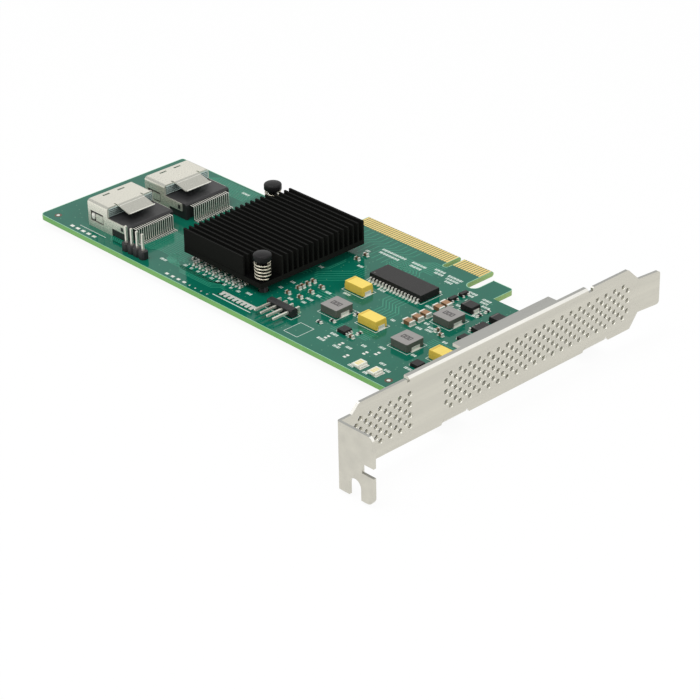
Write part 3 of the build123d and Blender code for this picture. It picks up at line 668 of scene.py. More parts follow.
class Recipe:
    """A Geometry Nodes tree under construction, with named inputs."""

    def __init__(self, name: str, look: Look) -> None:
        """Start an empty tree.

        Args:
            name: Name of the tree.
            look: Finish that the tree sets on its result.
        """
        self.tree = bpy.data.node_groups.new(name, "GeometryNodeTree")
        for way in ("INPUT", "OUTPUT"):
            self.tree.interface.new_socket("Geometry", in_out=way,
                                           socket_type="NodeSocketGeometry")
        self.inlet = self.tree.nodes.new("NodeGroupInput")
        self.outlet = self.tree.nodes.new("NodeGroupOutput")
        self.values: dict[str, float] = {}
        self.look = look

    def size(self, name: str, value: float) -> Socket:
        """Add a named number input.

        Args:
            name: Name of the input.
            value: Its value.

        Returns:
            Its socket in the tree.
        """
        kind = "NodeSocketInt" if isinstance(value, int) else "NodeSocketFloat"
        item = self.tree.interface.new_socket(name, in_out="INPUT", socket_type=kind)
        self.values[item.identifier] = value
        return self.inlet.outputs[name]

    def node(self, kind: str, settings: Optional[dict] = None, **inputs: object) -> Socket:
        """Add a node, its kind without the GeometryNode part, and return its first output."""
        whole = kind.startswith(("Shader", "Function"))
        return put(self.tree, kind if whole else "GeometryNode" + kind, settings, **inputs)

    def times(self, first: Socket, second: float) -> Socket:
        """Multiply a number output by a number and return the product's output."""
        return put(self.tree, "ShaderNodeMath", {"operation": "MULTIPLY"}, first, second)

    def row(self, count: object, axis: str, step: Socket, shape: Socket) -> Socket:
        """Set copies of a shape in a row.

        Args:
            count: Number of copies, or a socket with it.
            axis: Axis that the row runs along.
            step: Socket with the distance from copy to copy.
            shape: Geometry output of the shape.

        Returns:
            Geometry output of the row.
        """
        offset = self.node("ShaderNodeCombineXYZ", **{axis: step})
        line = self.node("MeshLine", {"mode": "OFFSET"}, Count=count, Offset=offset)
        return self.node("InstanceOnPoints", Points=line, Instance=shape)

    def add(self, name: str, result: Socket, slot: Slot, instead_of: Iterable[str] = (),
            base: Optional[Mesh] = None) -> None:
        """Close the tree, evaluate it into a plain mesh and put that on the card.

        Args:
            name: Name of the piece.
            result: Last geometry output before it is realised.
            slot: Record slot that the finish belongs to.
            instead_of: Frame nodes that the piece stands for.
            base: Mesh that the tree starts from.
        """
        whole = self.node("RealizeInstances", Geometry=result)
        dressed = self.node("SetMaterial", Geometry=whole, Material=self.look.material())
        connect(self.tree, self.outlet.inputs["Geometry"], dressed)
        carrier = placed(name, base or bpy.data.meshes.new(name + "_base"))
        modifier = carrier.modifiers.new(name, "NODES")
        modifier.node_group = self.tree
        for identifier, value in self.values.items():
            modifier[identifier] = value
        mesh = settled(carrier)
        mesh.materials.clear()
        add_piece(name, mesh, self.look, slot, instead_of)


# ---- studio


@dataclass
class Studio:
    """Camera, floor, world and lamps of the product picture.

    Attributes:
        eye: Where the camera stands.
        right: Direction to the right of the picture.
        down: Direction down the picture.
        lens: Focal length in millimetres on a 36 mm sensor.
        ambient: Level of the world's light on matt surfaces.
        glow: Share of the floor's brightness that doesn't depend on the lamps.
        reach: Distance from the origin to the floor's sides.
    """

    eye: Point = (0.445672, -0.460008, 0.324145)
    right: Point = (0.68761258, 0.72588386, -0.01677978)
    down: Point = (0.34154804, -0.34376119, -0.87474178)
    lens: float = 126.94
    ambient: float = 0.62
    glow: float = 0.93
    reach: float = 3.0

    def camera(self) -> None:
        """Place the camera at the photograph's angle."""
        data = bpy.data.cameras.new("camera")
        data.lens = self.lens
        data.sensor_width = 36.0
        data.clip_start = 0.01
        data.clip_end = 20.0
        side = Vector(self.right).normalized()
        up = -Vector(self.down).normalized()
        back = side.cross(up).normalized()
        up = back.cross(side)
        turn = Matrix((side, up, back)).transposed().to_4x4()
        camera = placed("camera", data)
        camera.matrix_world = Matrix.Translation(self.eye) @ turn
        bpy.context.scene.camera = camera

    @staticmethod
    def _seen(tree: Tree) -> Socket:
        """Add nodes that give 1 for rays from the camera, a gloss or a clear surface.

        Args:
            tree: Tree that takes the nodes.

        Returns:
            Output with the value.
        """
        rays = put(tree, "ShaderNodeLightPath").node.outputs
        total = rays["Is Camera Ray"]
        for kind in ("Is Glossy Ray", "Is Transmission Ray"):
            total = put(tree, "ShaderNodeMath", {"operation": "MAXIMUM"}, total, rays[kind])
        return total

    def world(self) -> None:
        """Make a white surround that lights matt surfaces at its own level."""
        world = bpy.data.worlds.new("surround")
        bpy.context.scene.world = world
        world.use_nodes = True
        tree = world.node_tree
        sky = tree.nodes["Background"].inputs
        level = put(tree, "ShaderNodeMapRange", Value=self._seen(tree), To_Min=self.ambient)
        connect(tree, sky["Color"], (1, 1, 1, 1))
        connect(tree, sky["Strength"], level)

    def floor(self) -> None:
        """Lay the pale floor under the card's lowest point."""
        sheet = Solids()
        sheet.box((-self.reach, -self.reach, CAD_LOW.z - 0.02),
                  (self.reach, self.reach, CAD_LOW.z - 0.01 * MM))
        floor = placed("floor", sheet.finish("floor"))
        material = bpy.data.materials.new("paper_floor")
        material.use_nodes = True
        tree = material.node_tree
        tree.nodes.clear()
        paper = put(tree, "ShaderNodeBsdfDiffuse", Color=(0.9, 0.9, 0.9, 1))
        light = put(tree, "ShaderNodeEmission", Strength=1.0)
        share = put(tree, "ShaderNodeMath", {"operation": "MULTIPLY"}, self._seen(tree), self.glow)
        both = put(tree, "ShaderNodeMixShader", None, share, paper, light)
        connect(tree, tree.nodes.new("ShaderNodeOutputMaterial").inputs["Surface"], both)
        floor.data.materials.append(material)

    @staticmethod
    def lamp(name: str, place: Point, size: float, power: float) -> None:
        """Hang a large soft lamp that faces the middle of the card.

        Args:
            name: Name of the lamp.
            place: Where it hangs.
            size: Side of its square face.
            power: Power in watts.
        """
        data = bpy.data.lights.new(name, "AREA")
        data.size = size
        data.energy = power
        lamp = placed(name, data)
        way = (CAD_LOW + CAD_HIGH) / 2 - Vector(place)
        lamp.location = place
        lamp.rotation_euler = way.to_track_quat("-Z", "Y").to_euler()

    def build(self) -> None:
        """Make the whole studio."""
        bpy.context.scene.view_settings.view_transform = "Standard"
        self.camera()
        self.world()
        self.floor()
        self.lamp("overhead", (-0.15, -0.35, 1.1), 0.7, 6.0)
        self.lamp("front_fill", (0.9, -0.1, 0.55), 0.6, 2.6)


# ---- bracket


@dataclass
class SlotBracket:
    """The vented slot bracket and the screws in its feet.

    Attributes:
        pitch: Distance between vents in a row.
        row_step: Height between rows.
        radius: Radius of a vent.
        cut: Radius of the cut that takes a vent's collar.
        wall: Thickness of a vent's wall ring, in a bright finish that paints a highlight.
        lip: Inner radius of the pale ring of painted light at a vent's back.
        throat: Radius of the clear opening past the dark ring of painted shade.
        half_sheet: Half the sheet's thickness.
        plate_x: Middle of the plate's thickness.
        middle_z: Height of the middle row.
        facets: Number of facets round a vent.
    """

    pitch: float = 3.4975 * MM
    row_step: float = 1.567 * MM
    radius: float = 0.79 * MM
    cut: float = 0.93 * MM
    wall: float = 0.06 * MM
    lip: float = 0.62 * MM
    throat: float = 0.4 * MM
    half_sheet: float = 0.43 * MM
    plate_x: float = 62.61 * MM
    middle_z: float = 9.7 * MM
    facets: int = 16

    def _spread(self, recipe: Recipe, shape: Socket, level: float) -> Socket:
        """Set a shape on every vent centre and turn both staggered fields upright.

        Args:
            recipe: Tree that takes the nodes.
            shape: Geometry output of the shape, its axis along Z.
            level: Place of the shape's middle along X.

        Returns:
            Geometry output of the whole field.
        """
        pitch = recipe.size("Vent Pitch", self.pitch)
        step = recipe.size("Row Step", self.row_step)
        side_pitch = recipe.times(pitch, 0.99)
        fields = []
        for columns, rows, centre, gap in ((20, 4, -35.97, pitch), (21, 3, -35.97, pitch),
                                           (6, 4, -92.6, side_pitch), (6, 3, -94.1214, side_pitch)):
            grid = recipe.node("MeshGrid", Vertices_X=columns, Vertices_Y=rows,
                               Size_X=recipe.times(gap, float(columns - 1)),
                               Size_Y=recipe.times(step, 2.0 * (rows - 1)))
            fields.append(recipe.node("Transform", Geometry=grid,
                                      Translation=(centre * MM, self.middle_z, 0)))
        centres = recipe.node("JoinGeometry", Geometry=fields)
        spread = recipe.node("InstanceOnPoints", Points=centres, Instance=shape)
        return recipe.node("Transform", Geometry=spread, Translation=(level, 0, 0),
                           Rotation=(QUARTER, 0, QUARTER))

    def plate(self) -> None:
        """Cut the vents through a copy of the frame's bracket."""
        recipe = Recipe("vent_cutter", Look.BRACKET)
        radius = recipe.size("Cutter Radius", self.cut)
        drill = recipe.node("MeshCylinder", Vertices=self.facets, Depth=4 * MM, Radius=radius)
        cutters = recipe.node("RealizeInstances", Geometry=self._spread(recipe, drill, self.plate_x))
        cut = recipe.node("MeshBoolean", {"operation": "DIFFERENCE", "solver": "EXACT"},
                          Mesh_1=recipe.inlet.outputs["Geometry"], Mesh_2=cutters)
        base = flat_copy("bracket", "bracket_base")
        recipe.add("vented_bracket", cut, Slot.BRACKET, ["bracket"], base)

    def rings(self, name: str, look: Look, span: Spot, depth: Spot) -> None:
        """Set a ring in every vent.

        Args:
            name: Name of the piece.
            look: Its finish.
            span: Inner and outer radius.
            depth: Lowest and highest place along X, from the plate's middle.
        """
        recipe = Recipe(name, look)
        radius = recipe.size("Ring Radius", sum(span) / 2)
        width = recipe.size("Ring Width", span[1] - span[0])
        height = recipe.size("Ring Height", depth[1] - depth[0])
        circle = recipe.node("CurvePrimitiveCircle", Resolution=self.facets, Radius=radius)
        section = recipe.node("CurvePrimitiveQuadrilateral", Width=width, Height=height)
        ring = recipe.node("CurveToMesh", Curve=circle, Profile_Curve=section)
        recipe.add(name, self._spread(recipe, ring, self.plate_x + sum(depth) / 2), Slot.BRACKET)

    def vents(self) -> None:
        """Line every vent: its collar, its wall in a bright finish as a painted highlight, and at its
        back a pale ring of painted light and a dark ring of painted shade.
        """
        back, front, edge = -self.half_sheet, self.half_sheet, self.radius + self.wall
        rear = (back + 0.01 * MM, back + 0.08 * MM)
        self.rings("vent_collars", Look.BRACKET, (edge, self.cut), (back, front - 0.005 * MM))
        self.rings("vent_walls", Look.VENT, (self.radius, edge), (back, front - 0.03 * MM))
        self.rings("vent_lit_rings", Look.VENT, (self.lip, self.radius), rear)
        self.rings("vent_shade_rings", Look.VENT_SHADE, (self.throat, self.lip), rear)

    @staticmethod
    def screws() -> None:
        """Turn the two screws, each with a rounded head that has a dimple in its middle."""
        screws = Solids()
        for low, high in solids_of("bracket_screws"):
            radius, shank, rim = (high.x - low.x) / 2, 1.4 * MM, low.z + 0.7 * MM
            screws.lathe([(0, rim), (0.35 * MM, rim), (1.0 * MM, low.z + 0.05 * MM),
                          (radius - 0.8 * MM, low.z), (radius - 0.3 * MM, low.z + 0.2 * MM),
                          (radius, rim), (radius, BOARD_BACK), (shank, BOARD_BACK),
                          (shank, high.z - 0.2 * MM), (1.2 * MM, high.z), (0, high.z)],
                         middle(low, high))
        screws.add("pan_head_screws", Look.SCREW, Slot.SCREW, ["bracket_screws"])

    def build(self) -> None:
        """Make the bracket and its screws."""
        self.plate()
        self.vents()
        self.screws()


# ---- heat sink


@dataclass
class SinkFixings:
    """The heat sink's fin edges with their painted highlight strips, and the sprung push pins at two of
    its corners.

    Attributes:
        wire: Radius of the spring wire.
        turns: Turns of each spring.
        coil: Radius of a spring's coil.
    """

    wire: float = 0.29 * MM
    turns: float = 5.0
    coil: float = 2.25 * MM

    @staticmethod
    def pin(side: str) -> None:
        """Turn one push pin with a domed head and a tapered foot.

        Args:
            side: Which pin, near or far.
        """
        node = "push_pin_" + side
        low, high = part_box(node)
        radius, shaft, foot = (high.x - low.x) / 2, 1.3 * MM, 1.9 * MM
        under, rim = high.z - 2.2 * MM, 0.55 * MM
        arc = [(radius - rim + rim * math.sin(turn), high.z - 0.25 * MM - rim + rim * math.cos(turn))
               for turn in (math.radians(90 - step * 15) for step in range(6))]
        body = Solids()
        body.lathe([(0, low.z), (0.9 * MM, low.z), (foot, -1.6 * MM), (foot, BOARD_BACK),
                    (shaft, BOARD_BACK), (shaft, under), (radius - 0.15 * MM, under),
                    (radius, under + 0.15 * MM), *arc, (radius * 0.45, high.z - 0.08 * MM),
                    (0, high.z)], middle(low, high), 48)
        mesh = body.finish("turned_" + node)
        for face in mesh.polygons:
            face.use_smooth = abs(face.normal.z) < 0.98
        add_piece("turned_" + node, mesh, Look.PIN, Slot.PIN, [node])

    def spring(self, side: str) -> None:
        """Wind one round-wire spring.

        Args:
            side: Which spring, near or far.
        """
        node = "pin_spring_" + side
        low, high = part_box(node)
        recipe = Recipe("spring_winder_" + side, Look.SPRING)
        wire = recipe.size("Wire Radius", self.wire)
        turns = recipe.size("Turns", self.turns)
        radius = recipe.size("Coil Radius", self.coil)
        height = recipe.size("Height", high.z - low.z - 2 * self.wire)
        coil = recipe.node("CurveSpiral", Resolution=28, Rotations=turns, Start_Radius=radius,
                           End_Radius=radius, Height=height)
        section = recipe.node("CurvePrimitiveCircle", Resolution=10, Radius=wire)
        tube = recipe.node("CurveToMesh", Curve=coil, Profile_Curve=section, Fill_Caps=True)
        smooth = recipe.node("SetShadeSmooth", Geometry=tube)
        spot = (*middle(*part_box("push_pin_" + side)), low.z + self.wire)
        whole = recipe.node("Transform", Geometry=smooth, Translation=spot)
        recipe.add("wound_" + node, whole, Slot.SPRING, [node])

    @staticmethod
    def fin_edge_highlights() -> None:
        """Line the near upper edge of every fin with a pale strip, a painted highlight."""
        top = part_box("heat_sink")[1].z
        strips = edge_strips("heat_sink", top, 0.18 * MM, lambda spot, way: way.y < -0.9)
        mesh = strips.finish("fin_edge_highlights")
        mesh.transform(Matrix.Translation((0, 0, -SKIN)))
        add_piece("fin_edge_highlights", mesh, Look.FIN_HIGHLIGHT, Slot.SINK)

    def build(self) -> None:
        """Make the fins' painted edge highlights, both pins and both springs."""
        self.fin_edge_highlights()
        for side in SIDES:
            self.pin(side)
            self.spring(side)


# ---- cable ports


@dataclass
class CablePort:
    """Small parts of a shielded port that the frame leaves plain.

    Attributes:
        side: Which port, near or far.
        leads: Contact blades in a row.
        pitch: Distance between blades.
    """

    side: str
    leads: int = 18
    pitch: float = 0.8 * MM

    def contacts(self) -> None:
        """Line the plug slot with its two rows of contact blades."""
        name = "slot_contacts_" + self.side
        low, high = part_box("port_housing_" + self.side)
        recipe = Recipe(name, Look.GOLD)
        count = recipe.size("Contacts", self.leads)
        pitch = recipe.size("Pitch", self.pitch)
        blade = recipe.node("MeshCube", Size=(4.5 * MM, 0.35 * MM, 0.12 * MM))
        blades = recipe.row(count, "Y", pitch, blade)
        start = (low.y + high.y) / 2 - (self.leads - 1) / 2 * self.pitch
        rows = [recipe.node("Transform", Geometry=blades,
                            Translation=(low.x + 3.4 * MM, start, height * MM))
                for height in (2.36, 3.64)]
        recipe.add(name, recipe.node("JoinGeometry", Geometry=rows), Slot.GOLD)

    def latches(self) -> None:
        """Line the shell's side windows and set a bowed spring and a tab in each."""
        low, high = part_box("port_cage_" + self.side)
        liners, springs, tabs = Solids(), Solids(), Solids()
        slabs = [(liners, (0.4, 0.7), (0.5, 9.0), (1.2, 6.2)),
                 (liners, (-0.01, 0.02), (15.4, 16.6), (3.0, 4.3)),
                 (tabs, (0.06, 0.3), (3.6, 6.9), (2.4, 4.7))]
        bow = [(0, 2.5), (0.55, 2.6), (0.75, 3.2), (0.75, 3.9), (0.55, 4.5), (0, 4.6)]
        for wall, turn in ((low.y, 1), (high.y, -1)):
            for solids, depths, along, heights in slabs:
                first, last = sorted(wall + turn * depth * MM for depth in depths)
                solids.box((low.x + along[0] * MM, first, heights[0] * MM),
                           (low.x + along[1] * MM, last, heights[1] * MM))
            springs.lathe([(radius * MM, height * MM) for radius, height in bow],
                          (low.x + 2.3 * MM, wall + turn * 0.45 * MM), 16)
        liners.add("window_liners_" + self.side, Look.HOUSING, Slot.HOUSING)
        springs.add("window_springs_" + self.side, Look.LEAD, Slot.CAGE)
        tabs.add("window_tabs_" + self.side, Look.CAGE, Slot.CAGE)

    def highlight_beads(self) -> None:
        """Lay a bright bead on the flap, one at its bend and one at its lip: painted highlights along
        those edges.
        """
        centre = middle(*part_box("port_cage_" + self.side))[1]
        steps = 8
        highlight_beads = Solids()
        for x, z, thick in ((-84.9, 8.13, 0.1), (-80.05, 7.2, 0.16)):
            ring = [(x + thick * math.cos(turn), z + thick * math.sin(turn))
                    for turn in (math.radians(step * 360 / steps) for step in range(steps))]
            ends = [[highlight_beads.mesh.verts.new((a * MM, centre + way * 4.75 * MM, b * MM))
                     for a, b in ring] for way in (-1, 1)]
            highlight_beads.mesh.faces.new(ends[0])
            highlight_beads.mesh.faces.new(ends[1][::-1])
            for step in range(steps):
                after = (step + 1) % steps
                highlight_beads.mesh.faces.new((ends[0][after], ends[0][step], ends[1][step], ends[1][after]))
        highlight_beads.add("flap_beads_" + self.side, Look.LEAD, Slot.CAGE)

    def flutes(self) -> None:
        """Stack the fluted spring strips on the shell's rear wall, beside and under the flap."""
        low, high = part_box("port_housing_" + self.side)
        recipe = Recipe("flute_stack_" + self.side, Look.FLUTE)
        count = recipe.size("Flutes", 5)
        step = recipe.size("Step", 0.56 * MM)
        rod = recipe.node("MeshCylinder", Vertices=10, Radius=0.27 * MM,
                          Depth=high.y - low.y - 0.5 * MM)
        laid = recipe.node("Transform", Geometry=rod, Rotation=(QUARTER, 0, 0))
        spot = (low.x + 0.1 * MM, middle(*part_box("port_cage_" + self.side))[1], high.z + 0.3 * MM)
        stack = recipe.node("Transform", Geometry=recipe.row(count, "Z", step, laid),
                            Translation=spot)
        recipe.add("fluted_wall_" + self.side, stack, Slot.CAGE)

    def build(self) -> None:
        """Dress the port."""
        self.contacts()
        self.latches()
        self.flutes()
        self.highlight_beads()


# ---- board detail


@dataclass
class BoardDetail:
    """Copper, print and pads on the board's two faces.

    Attributes:
        line: Width of a printed line.
        gap: Distance from a part to its printed outline, in millimetres.
        trace: Width of a signal trace.
    """

    line: float = 0.16 * MM
    gap: float = 0.55
    trace: float = 0.26 * MM

    def print_marks(self) -> None:
        """Print outlines round the parts, with plain bars beside them."""
        prints = Solids()
        parts = (numbered("tantalum_capacitor", 3) + numbered("inductor", 3)
                 + numbered("power_diode", 2) + ["regulator_chip", "memory_chip", "angled_header_base"])
        outlines = [(low.x / MM - self.gap, low.y / MM - self.gap, high.x / MM + self.gap,
                     high.y / MM + self.gap) for low, high in map(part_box, parts)]
        outlines += [(-4.2, -66.5, 1.2, -60.1), (-34.6, -66.2, -18.6, -66.05),
                     (-96.7, -65.1, -84.6, -65.0)]
        for low_x, low_y, high_x, high_y in outlines:
            corners = [(low_x, low_y), (high_x, low_y), (high_x, high_y), (low_x, high_y)]
            prints.ribbon([(x * MM, y * MM) for x, y in corners], self.line, 0, SKIN, closed=True)
        for step, (x, y, length) in enumerate(self.marks()):
            place = x
            while place < x + length:
                width = (0.28, 0.5, 0.22, 0.4)[step % 4]
                prints.plate(place, y - 0.5, place + width, y + 0.5, 1)
                place += width + 0.22
                step += 1
        prints.add("board_print", Look.SILK, Slot.MASK)

    @staticmethod
    def marks() -> list[Point]:
        """List the bars that stand for part marks.

        Returns:
            Place and length of each run of bars, in millimetres.
        """
        beside_parts = [
            (-8.8, -39.4, 2.4), (8.4, -43.2, 2.4), (36.6, -43.6, 2.4), (-4.4, -43.9, 2.4),
            (23.4, -43.9, 2.4), (22, -26.3, 2.4), (20.2, -24.7, 1.6), (20.2, -27.7, 1.6),
            (20.2, -32.9, 1.6), (20.2, -36, 1.6), (20.2, -39.4, 1.6), (6, -58.2, 2.4),
            (34, -57.4, 2.4), (-3.6, -30.9, 2.4), (22.2, -67, 1.8), (28, -67, 1.8)]
        on_open_board = [
            (-104, -18, 3), (-104, -40, 3), (-79, -16, 3.2), (-70, -42.5, 2.6),
            (-62.6, -62, 2.4), (5.2, -62.5, 2.6), (11.5, -62.5, 2.6), (41, -62, 2.6),
            (-14, -49, 2.4), (-12, -21, 2.2), (44, -38, 2.4)]
        near_contacts = [
            (-20.5, -12.6, 9.5), (-20, -14.4, 8), (-8.4, -12.4, 5.4), (-7.6, -14.2, 4.4),
            (-0.6, -10.9, 4), (0.6, -12.4, 3.2), (5, -11.2, 5.4), (5.6, -12.7, 4.6),
            (6.6, -14.2, 2.6), (16, -14.2, 3), (16.4, -15.7, 2.6), (22, -14.7, 3),
            (22.6, -16.2, 2.6), (13.2, -28.6, 2.8), (22.6, -37, 3), (23, -38.5, 2.6),
            (-84, -21, 2.6), (14.5, -14.6, 2.4), (24.6, -17.8, 2.4)]
        crowded = [
            (-24.6, -49.8, 1.4), (-24.6, -45.2, 1.4), (-13.2, -51.4, 1.6), (-13, -45.9, 1.6),
            (-12.9, -42.6, 1.6), (-17.6, -52.6, 1.4), (12.2, -41.2, 1.6), (11.8, -46.9, 1.6),
            (14.6, -60.6, 2), (17, -57, 1.6), (27.6, -60.4, 2.2), (31.2, -62.2, 1.8),
            (21.2, -54.3, 1.6), (30.4, -51.2, 1.8), (15.3, -37.2, 1.5), (31.4, -40.2, 1.6),
            (18.9, -18.4, 1.8), (19, -22.2, 1.8), (26.4, -23.6, 1.8), (31, -26.4, 1.6),
            (-28.4, -58.8, 1.8), (-25.9, -33, 1.6), (-23.5, -16.5, 1.6), (-18.3, -24.8, 1.8)]
        under_array = [(-54.5 + 2.9 * step, -60, 1.1) for step in range(9)]
        return beside_parts + on_open_board + near_contacts + crowded + under_array

    @staticmethod
    def rim() -> None:
        """Line the board's upper edge with a pale strip: a painted highlight along the edge."""
        drilled = ("push_pin_near", "push_pin_far", "bracket_screws", "upright_header_pins",
                   "angled_header_pins")
        holes = [(low + high) / 2 for node in drilled for low, high in solids_of(node)]
        strips = edge_strips("circuit_board", 0.0, 0.22 * MM, lambda spot, way: all(
            (spot - hole).xy.length > 2.6 * MM for hole in holes))
        strips.add("board_rim_highlight", Look.EDGE_HIGHLIGHT, Slot.MASK)

    def copper(self) -> None:
        """Lay the traces that show through the mask, in bundles with slanted runs.

        A bundle has its face, its number of traces, the start of its first trace, the shift from
        trace to trace and the moves from point to point, in millimetres.
        """
        copper = Solids()
        top, bottom = (0.0, SKIN / 2), (BOARD_BACK - SKIN / 2, BOARD_BACK)
        bundles = [(top, 16, -72.6, centre - 6, (0, 0.8), [(3, 0), (2.4, 1.2), (12, 0)])
                   for centre in (-54.1, -32.1)]
        bundles += [
            (top, 14, -36.6, -6.4, (2, 0), [(0, -3.4), (-2.2, -2.2), (0, -7)]),
            (top, 5, -23.6, -37, (1, -1), [(0, 1.5), (7.3, 7.3), (0, 5)]),
            (top, 2, -24.6, -35.6, (-0.7, 0.7), [(0, 1.2), (2, 2), (0, 7)]),
            (top, 7, -8.2, -19.6, (1.27, 0), [(0, 2.2), (-1.6, 1.6), (0, 2)]),
            (top, 6, 2, -30.4, (1.27, 0), [(0, -4), (3, -3), (0, -4.2)]),
            (top, 5, -57.2, -61, (3.4, 0), [(0, 1.6), (1.8, 1.8), (0, 3)]),
            (top, 10, -74, -20, (0, 0.7), [(-18, 0), (-5, -5), (0, -28)]),
            (top, 6, 28.6, -41.2, (0, -0.8), [(9, 0), (3, 3), (6, 0)]),
            (top, 7, -59.5, -56.4, (-0.45, -0.2),
             [(0, -1.2), (1.2, -2.1), (2.4, -1.1), (17.5, 0), (1.6, 1.6), (2.4, 0)]),
            (top, 6, -55, -60.9, (0.6, -0.6), [(14, 0), (1.8, 1.8), (2, 0)]),
            (top, 7, -31.5, -40.5, (0, 1.25), [(4, 0), (1.2, 1.2), (1, 0)]),
            (top, 8, -13.5, -18, (0, 0.9), [(6.5, 0), (3.6, 3.6), (5, 0)]),
            (top, 5, -14.5, -46.5, (0, 1.1), [(5.5, 0), (1.6, -1.6), (4, 0)]),
            (top, 6, 4, -52.5, (0, -0.8), [(5, 0), (2, 2), (5, 0)]),
            (top, 6, -84, -61.6, (0.9, 0), [(0, -1.6), (1.6, -1.6), (6, 0)]),
            (bottom, 18, -95, -60, (0, 2.2), [(30, 0), (4, 4), (42, 0)]),
            (bottom, 12, -20, -62, (0, 2.6), [(22, 0), (-3, 3), (30, 0)]),
            (bottom, 22, -36.8, -6.4, (1.6, 0), [(0, -6), (3, -3), (0, -12)])]
        for face, count, start_x, start_y, step, runs in bundles:
            for index in range(count):
                x, y = start_x + index * step[0], start_y + index * step[1]
                path = [(x * MM, y * MM)]
                for move_x, move_y in runs:
                    x, y = x + move_x, y + move_y
                    path.append((x * MM, y * MM))
                copper.ribbon(path, self.trace, *face)
        copper.add("signal_traces", Look.TRACE, Slot.MASK)

    @staticmethod
    def pads() -> None:
        """Lay a tinned pad under every lead and terminal that stands on the board."""
        pads = Solids()
        margins = {"memory_chip_leads": 0.12, "port_leads_near": 0.08, "port_leads_far": 0.08,
                   "regulator_chip_leads": 0.15, "small_chip_leads": 0.15,
                   "transistor_leads": 0.12, "tantalum_terminals": 0.45,
                   "inductor_terminals": 0.45, "power_diode_terminals": 0.4,
                   "status_led_terminals": 0.35, "ceramic_capacitor_ends": 0.25}
        for node, margin in margins.items():
            reach = margin * MM
            for low, high in solids_of(node):
                start = high.x - 1.4 * MM if node.startswith("port_leads") else low.x - reach
                pads.box((start, low.y - reach, 0), (high.x + reach, high.y + reach, SKIN * 1.5))
        for first, last in chip_ends(0.35 * MM, 0.3 * MM, 0.1 * MM):
            pads.box(first, (last[0], last[1], SKIN * 1.5))
        pads.add("solder_pads", Look.SOLDER, Slot.LEAD)

    @staticmethod
    def open_pairs() -> None:
        """Lay the pairs of pads that carry no part, among the parts."""
        places = [(-53.95 + 2.9 * step, -55.5) for step in range(8)]
        places += [(-50.75 + 2.9 * step, -57.8) for step in range(7)]
        places += [(18.5, -64.3), (21.0, -59.5), (23.5, -57.4), (44.5, -61.5), (-66.0, -22.0),
                   (-66.0, -25.0), (7.0, -60.6), (12.6, -60.6), (39.0, -41.0), (41.6, -41.0)]
        recipe = Recipe("open_pads", Look.SOLDER)
        width = recipe.size("Pad Width", 1.0 * MM)
        length = recipe.size("Pad Length", 0.7 * MM)
        gap = recipe.size("Pad Gap", 1.15 * MM)
        side = recipe.node("ShaderNodeCombineXYZ", X=width, Y=length, Z=SKIN)
        pair = recipe.row(2, "Y", gap, recipe.node("MeshCube", Size=side))
        laid = recipe.node("InstanceOnPoints", Points=recipe.inlet.outputs["Geometry"],
                           Instance=pair)
        base = bpy.data.meshes.new("open_pad_places")
        base.from_pydata([(x * MM, (y - 0.575) * MM, SKIN) for x, y in places], [], [])
        recipe.add("open_pad_pairs", laid, Slot.LEAD, base=base)

    @staticmethod
    def open_rows() -> None:
        """Lay the rows of pads that carry no part, by the long edge, with a dark disc of painted hole
        shade beside some pads.
        """
        row, holes = Solids(), Solids()
        for step in range(5):
            x = -98.0 + 2.6 * step
            row.plate(x - 0.75, -67.5, x + 0.75, -66.5, 2)
        for step in range(8):
            x, size = -53.6 + 2.56 * step, 0.6 if step < 4 else 0.22
            row.plate(x - size, -67.6, x + size, -67.3 + size, 2)
        for step in range(16):
            x = -54.4 + 1.45 * step
            row.plate(x, -56.9, x + 0.5, -56.45, 2)
            row.plate(x + 0.7, -59.0, x + 1.15, -58.6, 2)
        for step in range(8):
            x = -32.8 + 1.79 * step
            row.plate(x - 0.62, -65.0, x + 0.62, -63.0, 2)
            row.plate(x - 0.9, -63.5, x + 0.9, -62.7, 1.8)
            # Dark disc at a pad's lower left: painted shade of a hole.
            holes.disc(0.3 * MM, 0, SKIN * 3, ((x - 0.75) * MM, -64.9 * MM), 14)
        row.add("open_pad_row", Look.SOLDER, Slot.LEAD)
        holes.add("open_pad_hole_shades", Look.HOLE_SHADE, Slot.MASK)

    @staticmethod
    def vias() -> None:
        """Scatter plated through-holes over the board, in step with a loose grid."""
        recipe = Recipe("via_scatter", Look.VIA)
        radius = recipe.size("Via Radius", 0.17 * MM)
        low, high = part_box("circuit_board")
        margin, far_edge, drift = 3.0 * MM, -14.5 * MM, 0.9 * MM
        columns, rows = 66, 21
        grid = recipe.node("MeshGrid", Vertices_X=columns, Vertices_Y=rows,
                           Size_X=high.x - low.x - 2 * margin, Size_Y=far_edge - low.y - margin)
        dropped = recipe.node("FunctionNodeRandomValue", {"data_type": "BOOLEAN"},
                              Probability=0.6, Seed=7)
        kept = recipe.node("DeleteGeometry", {"domain": "POINT"}, Geometry=grid,
                           Selection=dropped.node.outputs[3])
        shift = recipe.node("FunctionNodeRandomValue", {"data_type": "FLOAT_VECTOR"},
                            Min=(-drift, -drift, 0), Max=(drift, drift, 0), Seed=11)
        moved = recipe.node("SetPosition", Geometry=kept, Offset=shift)
        barrel = recipe.node("MeshCylinder", Vertices=10, Radius=radius, Depth=SKIN - BOARD_BACK)
        barrels = recipe.node("InstanceOnPoints", Points=moved, Instance=barrel)
        spot = ((low.x + high.x) / 2, (low.y + margin + far_edge) / 2, BOARD_BACK / 2)
        whole = recipe.node("Transform", Geometry=barrels, Translation=spot)
        recipe.add("plated_vias", whole, Slot.MASK)

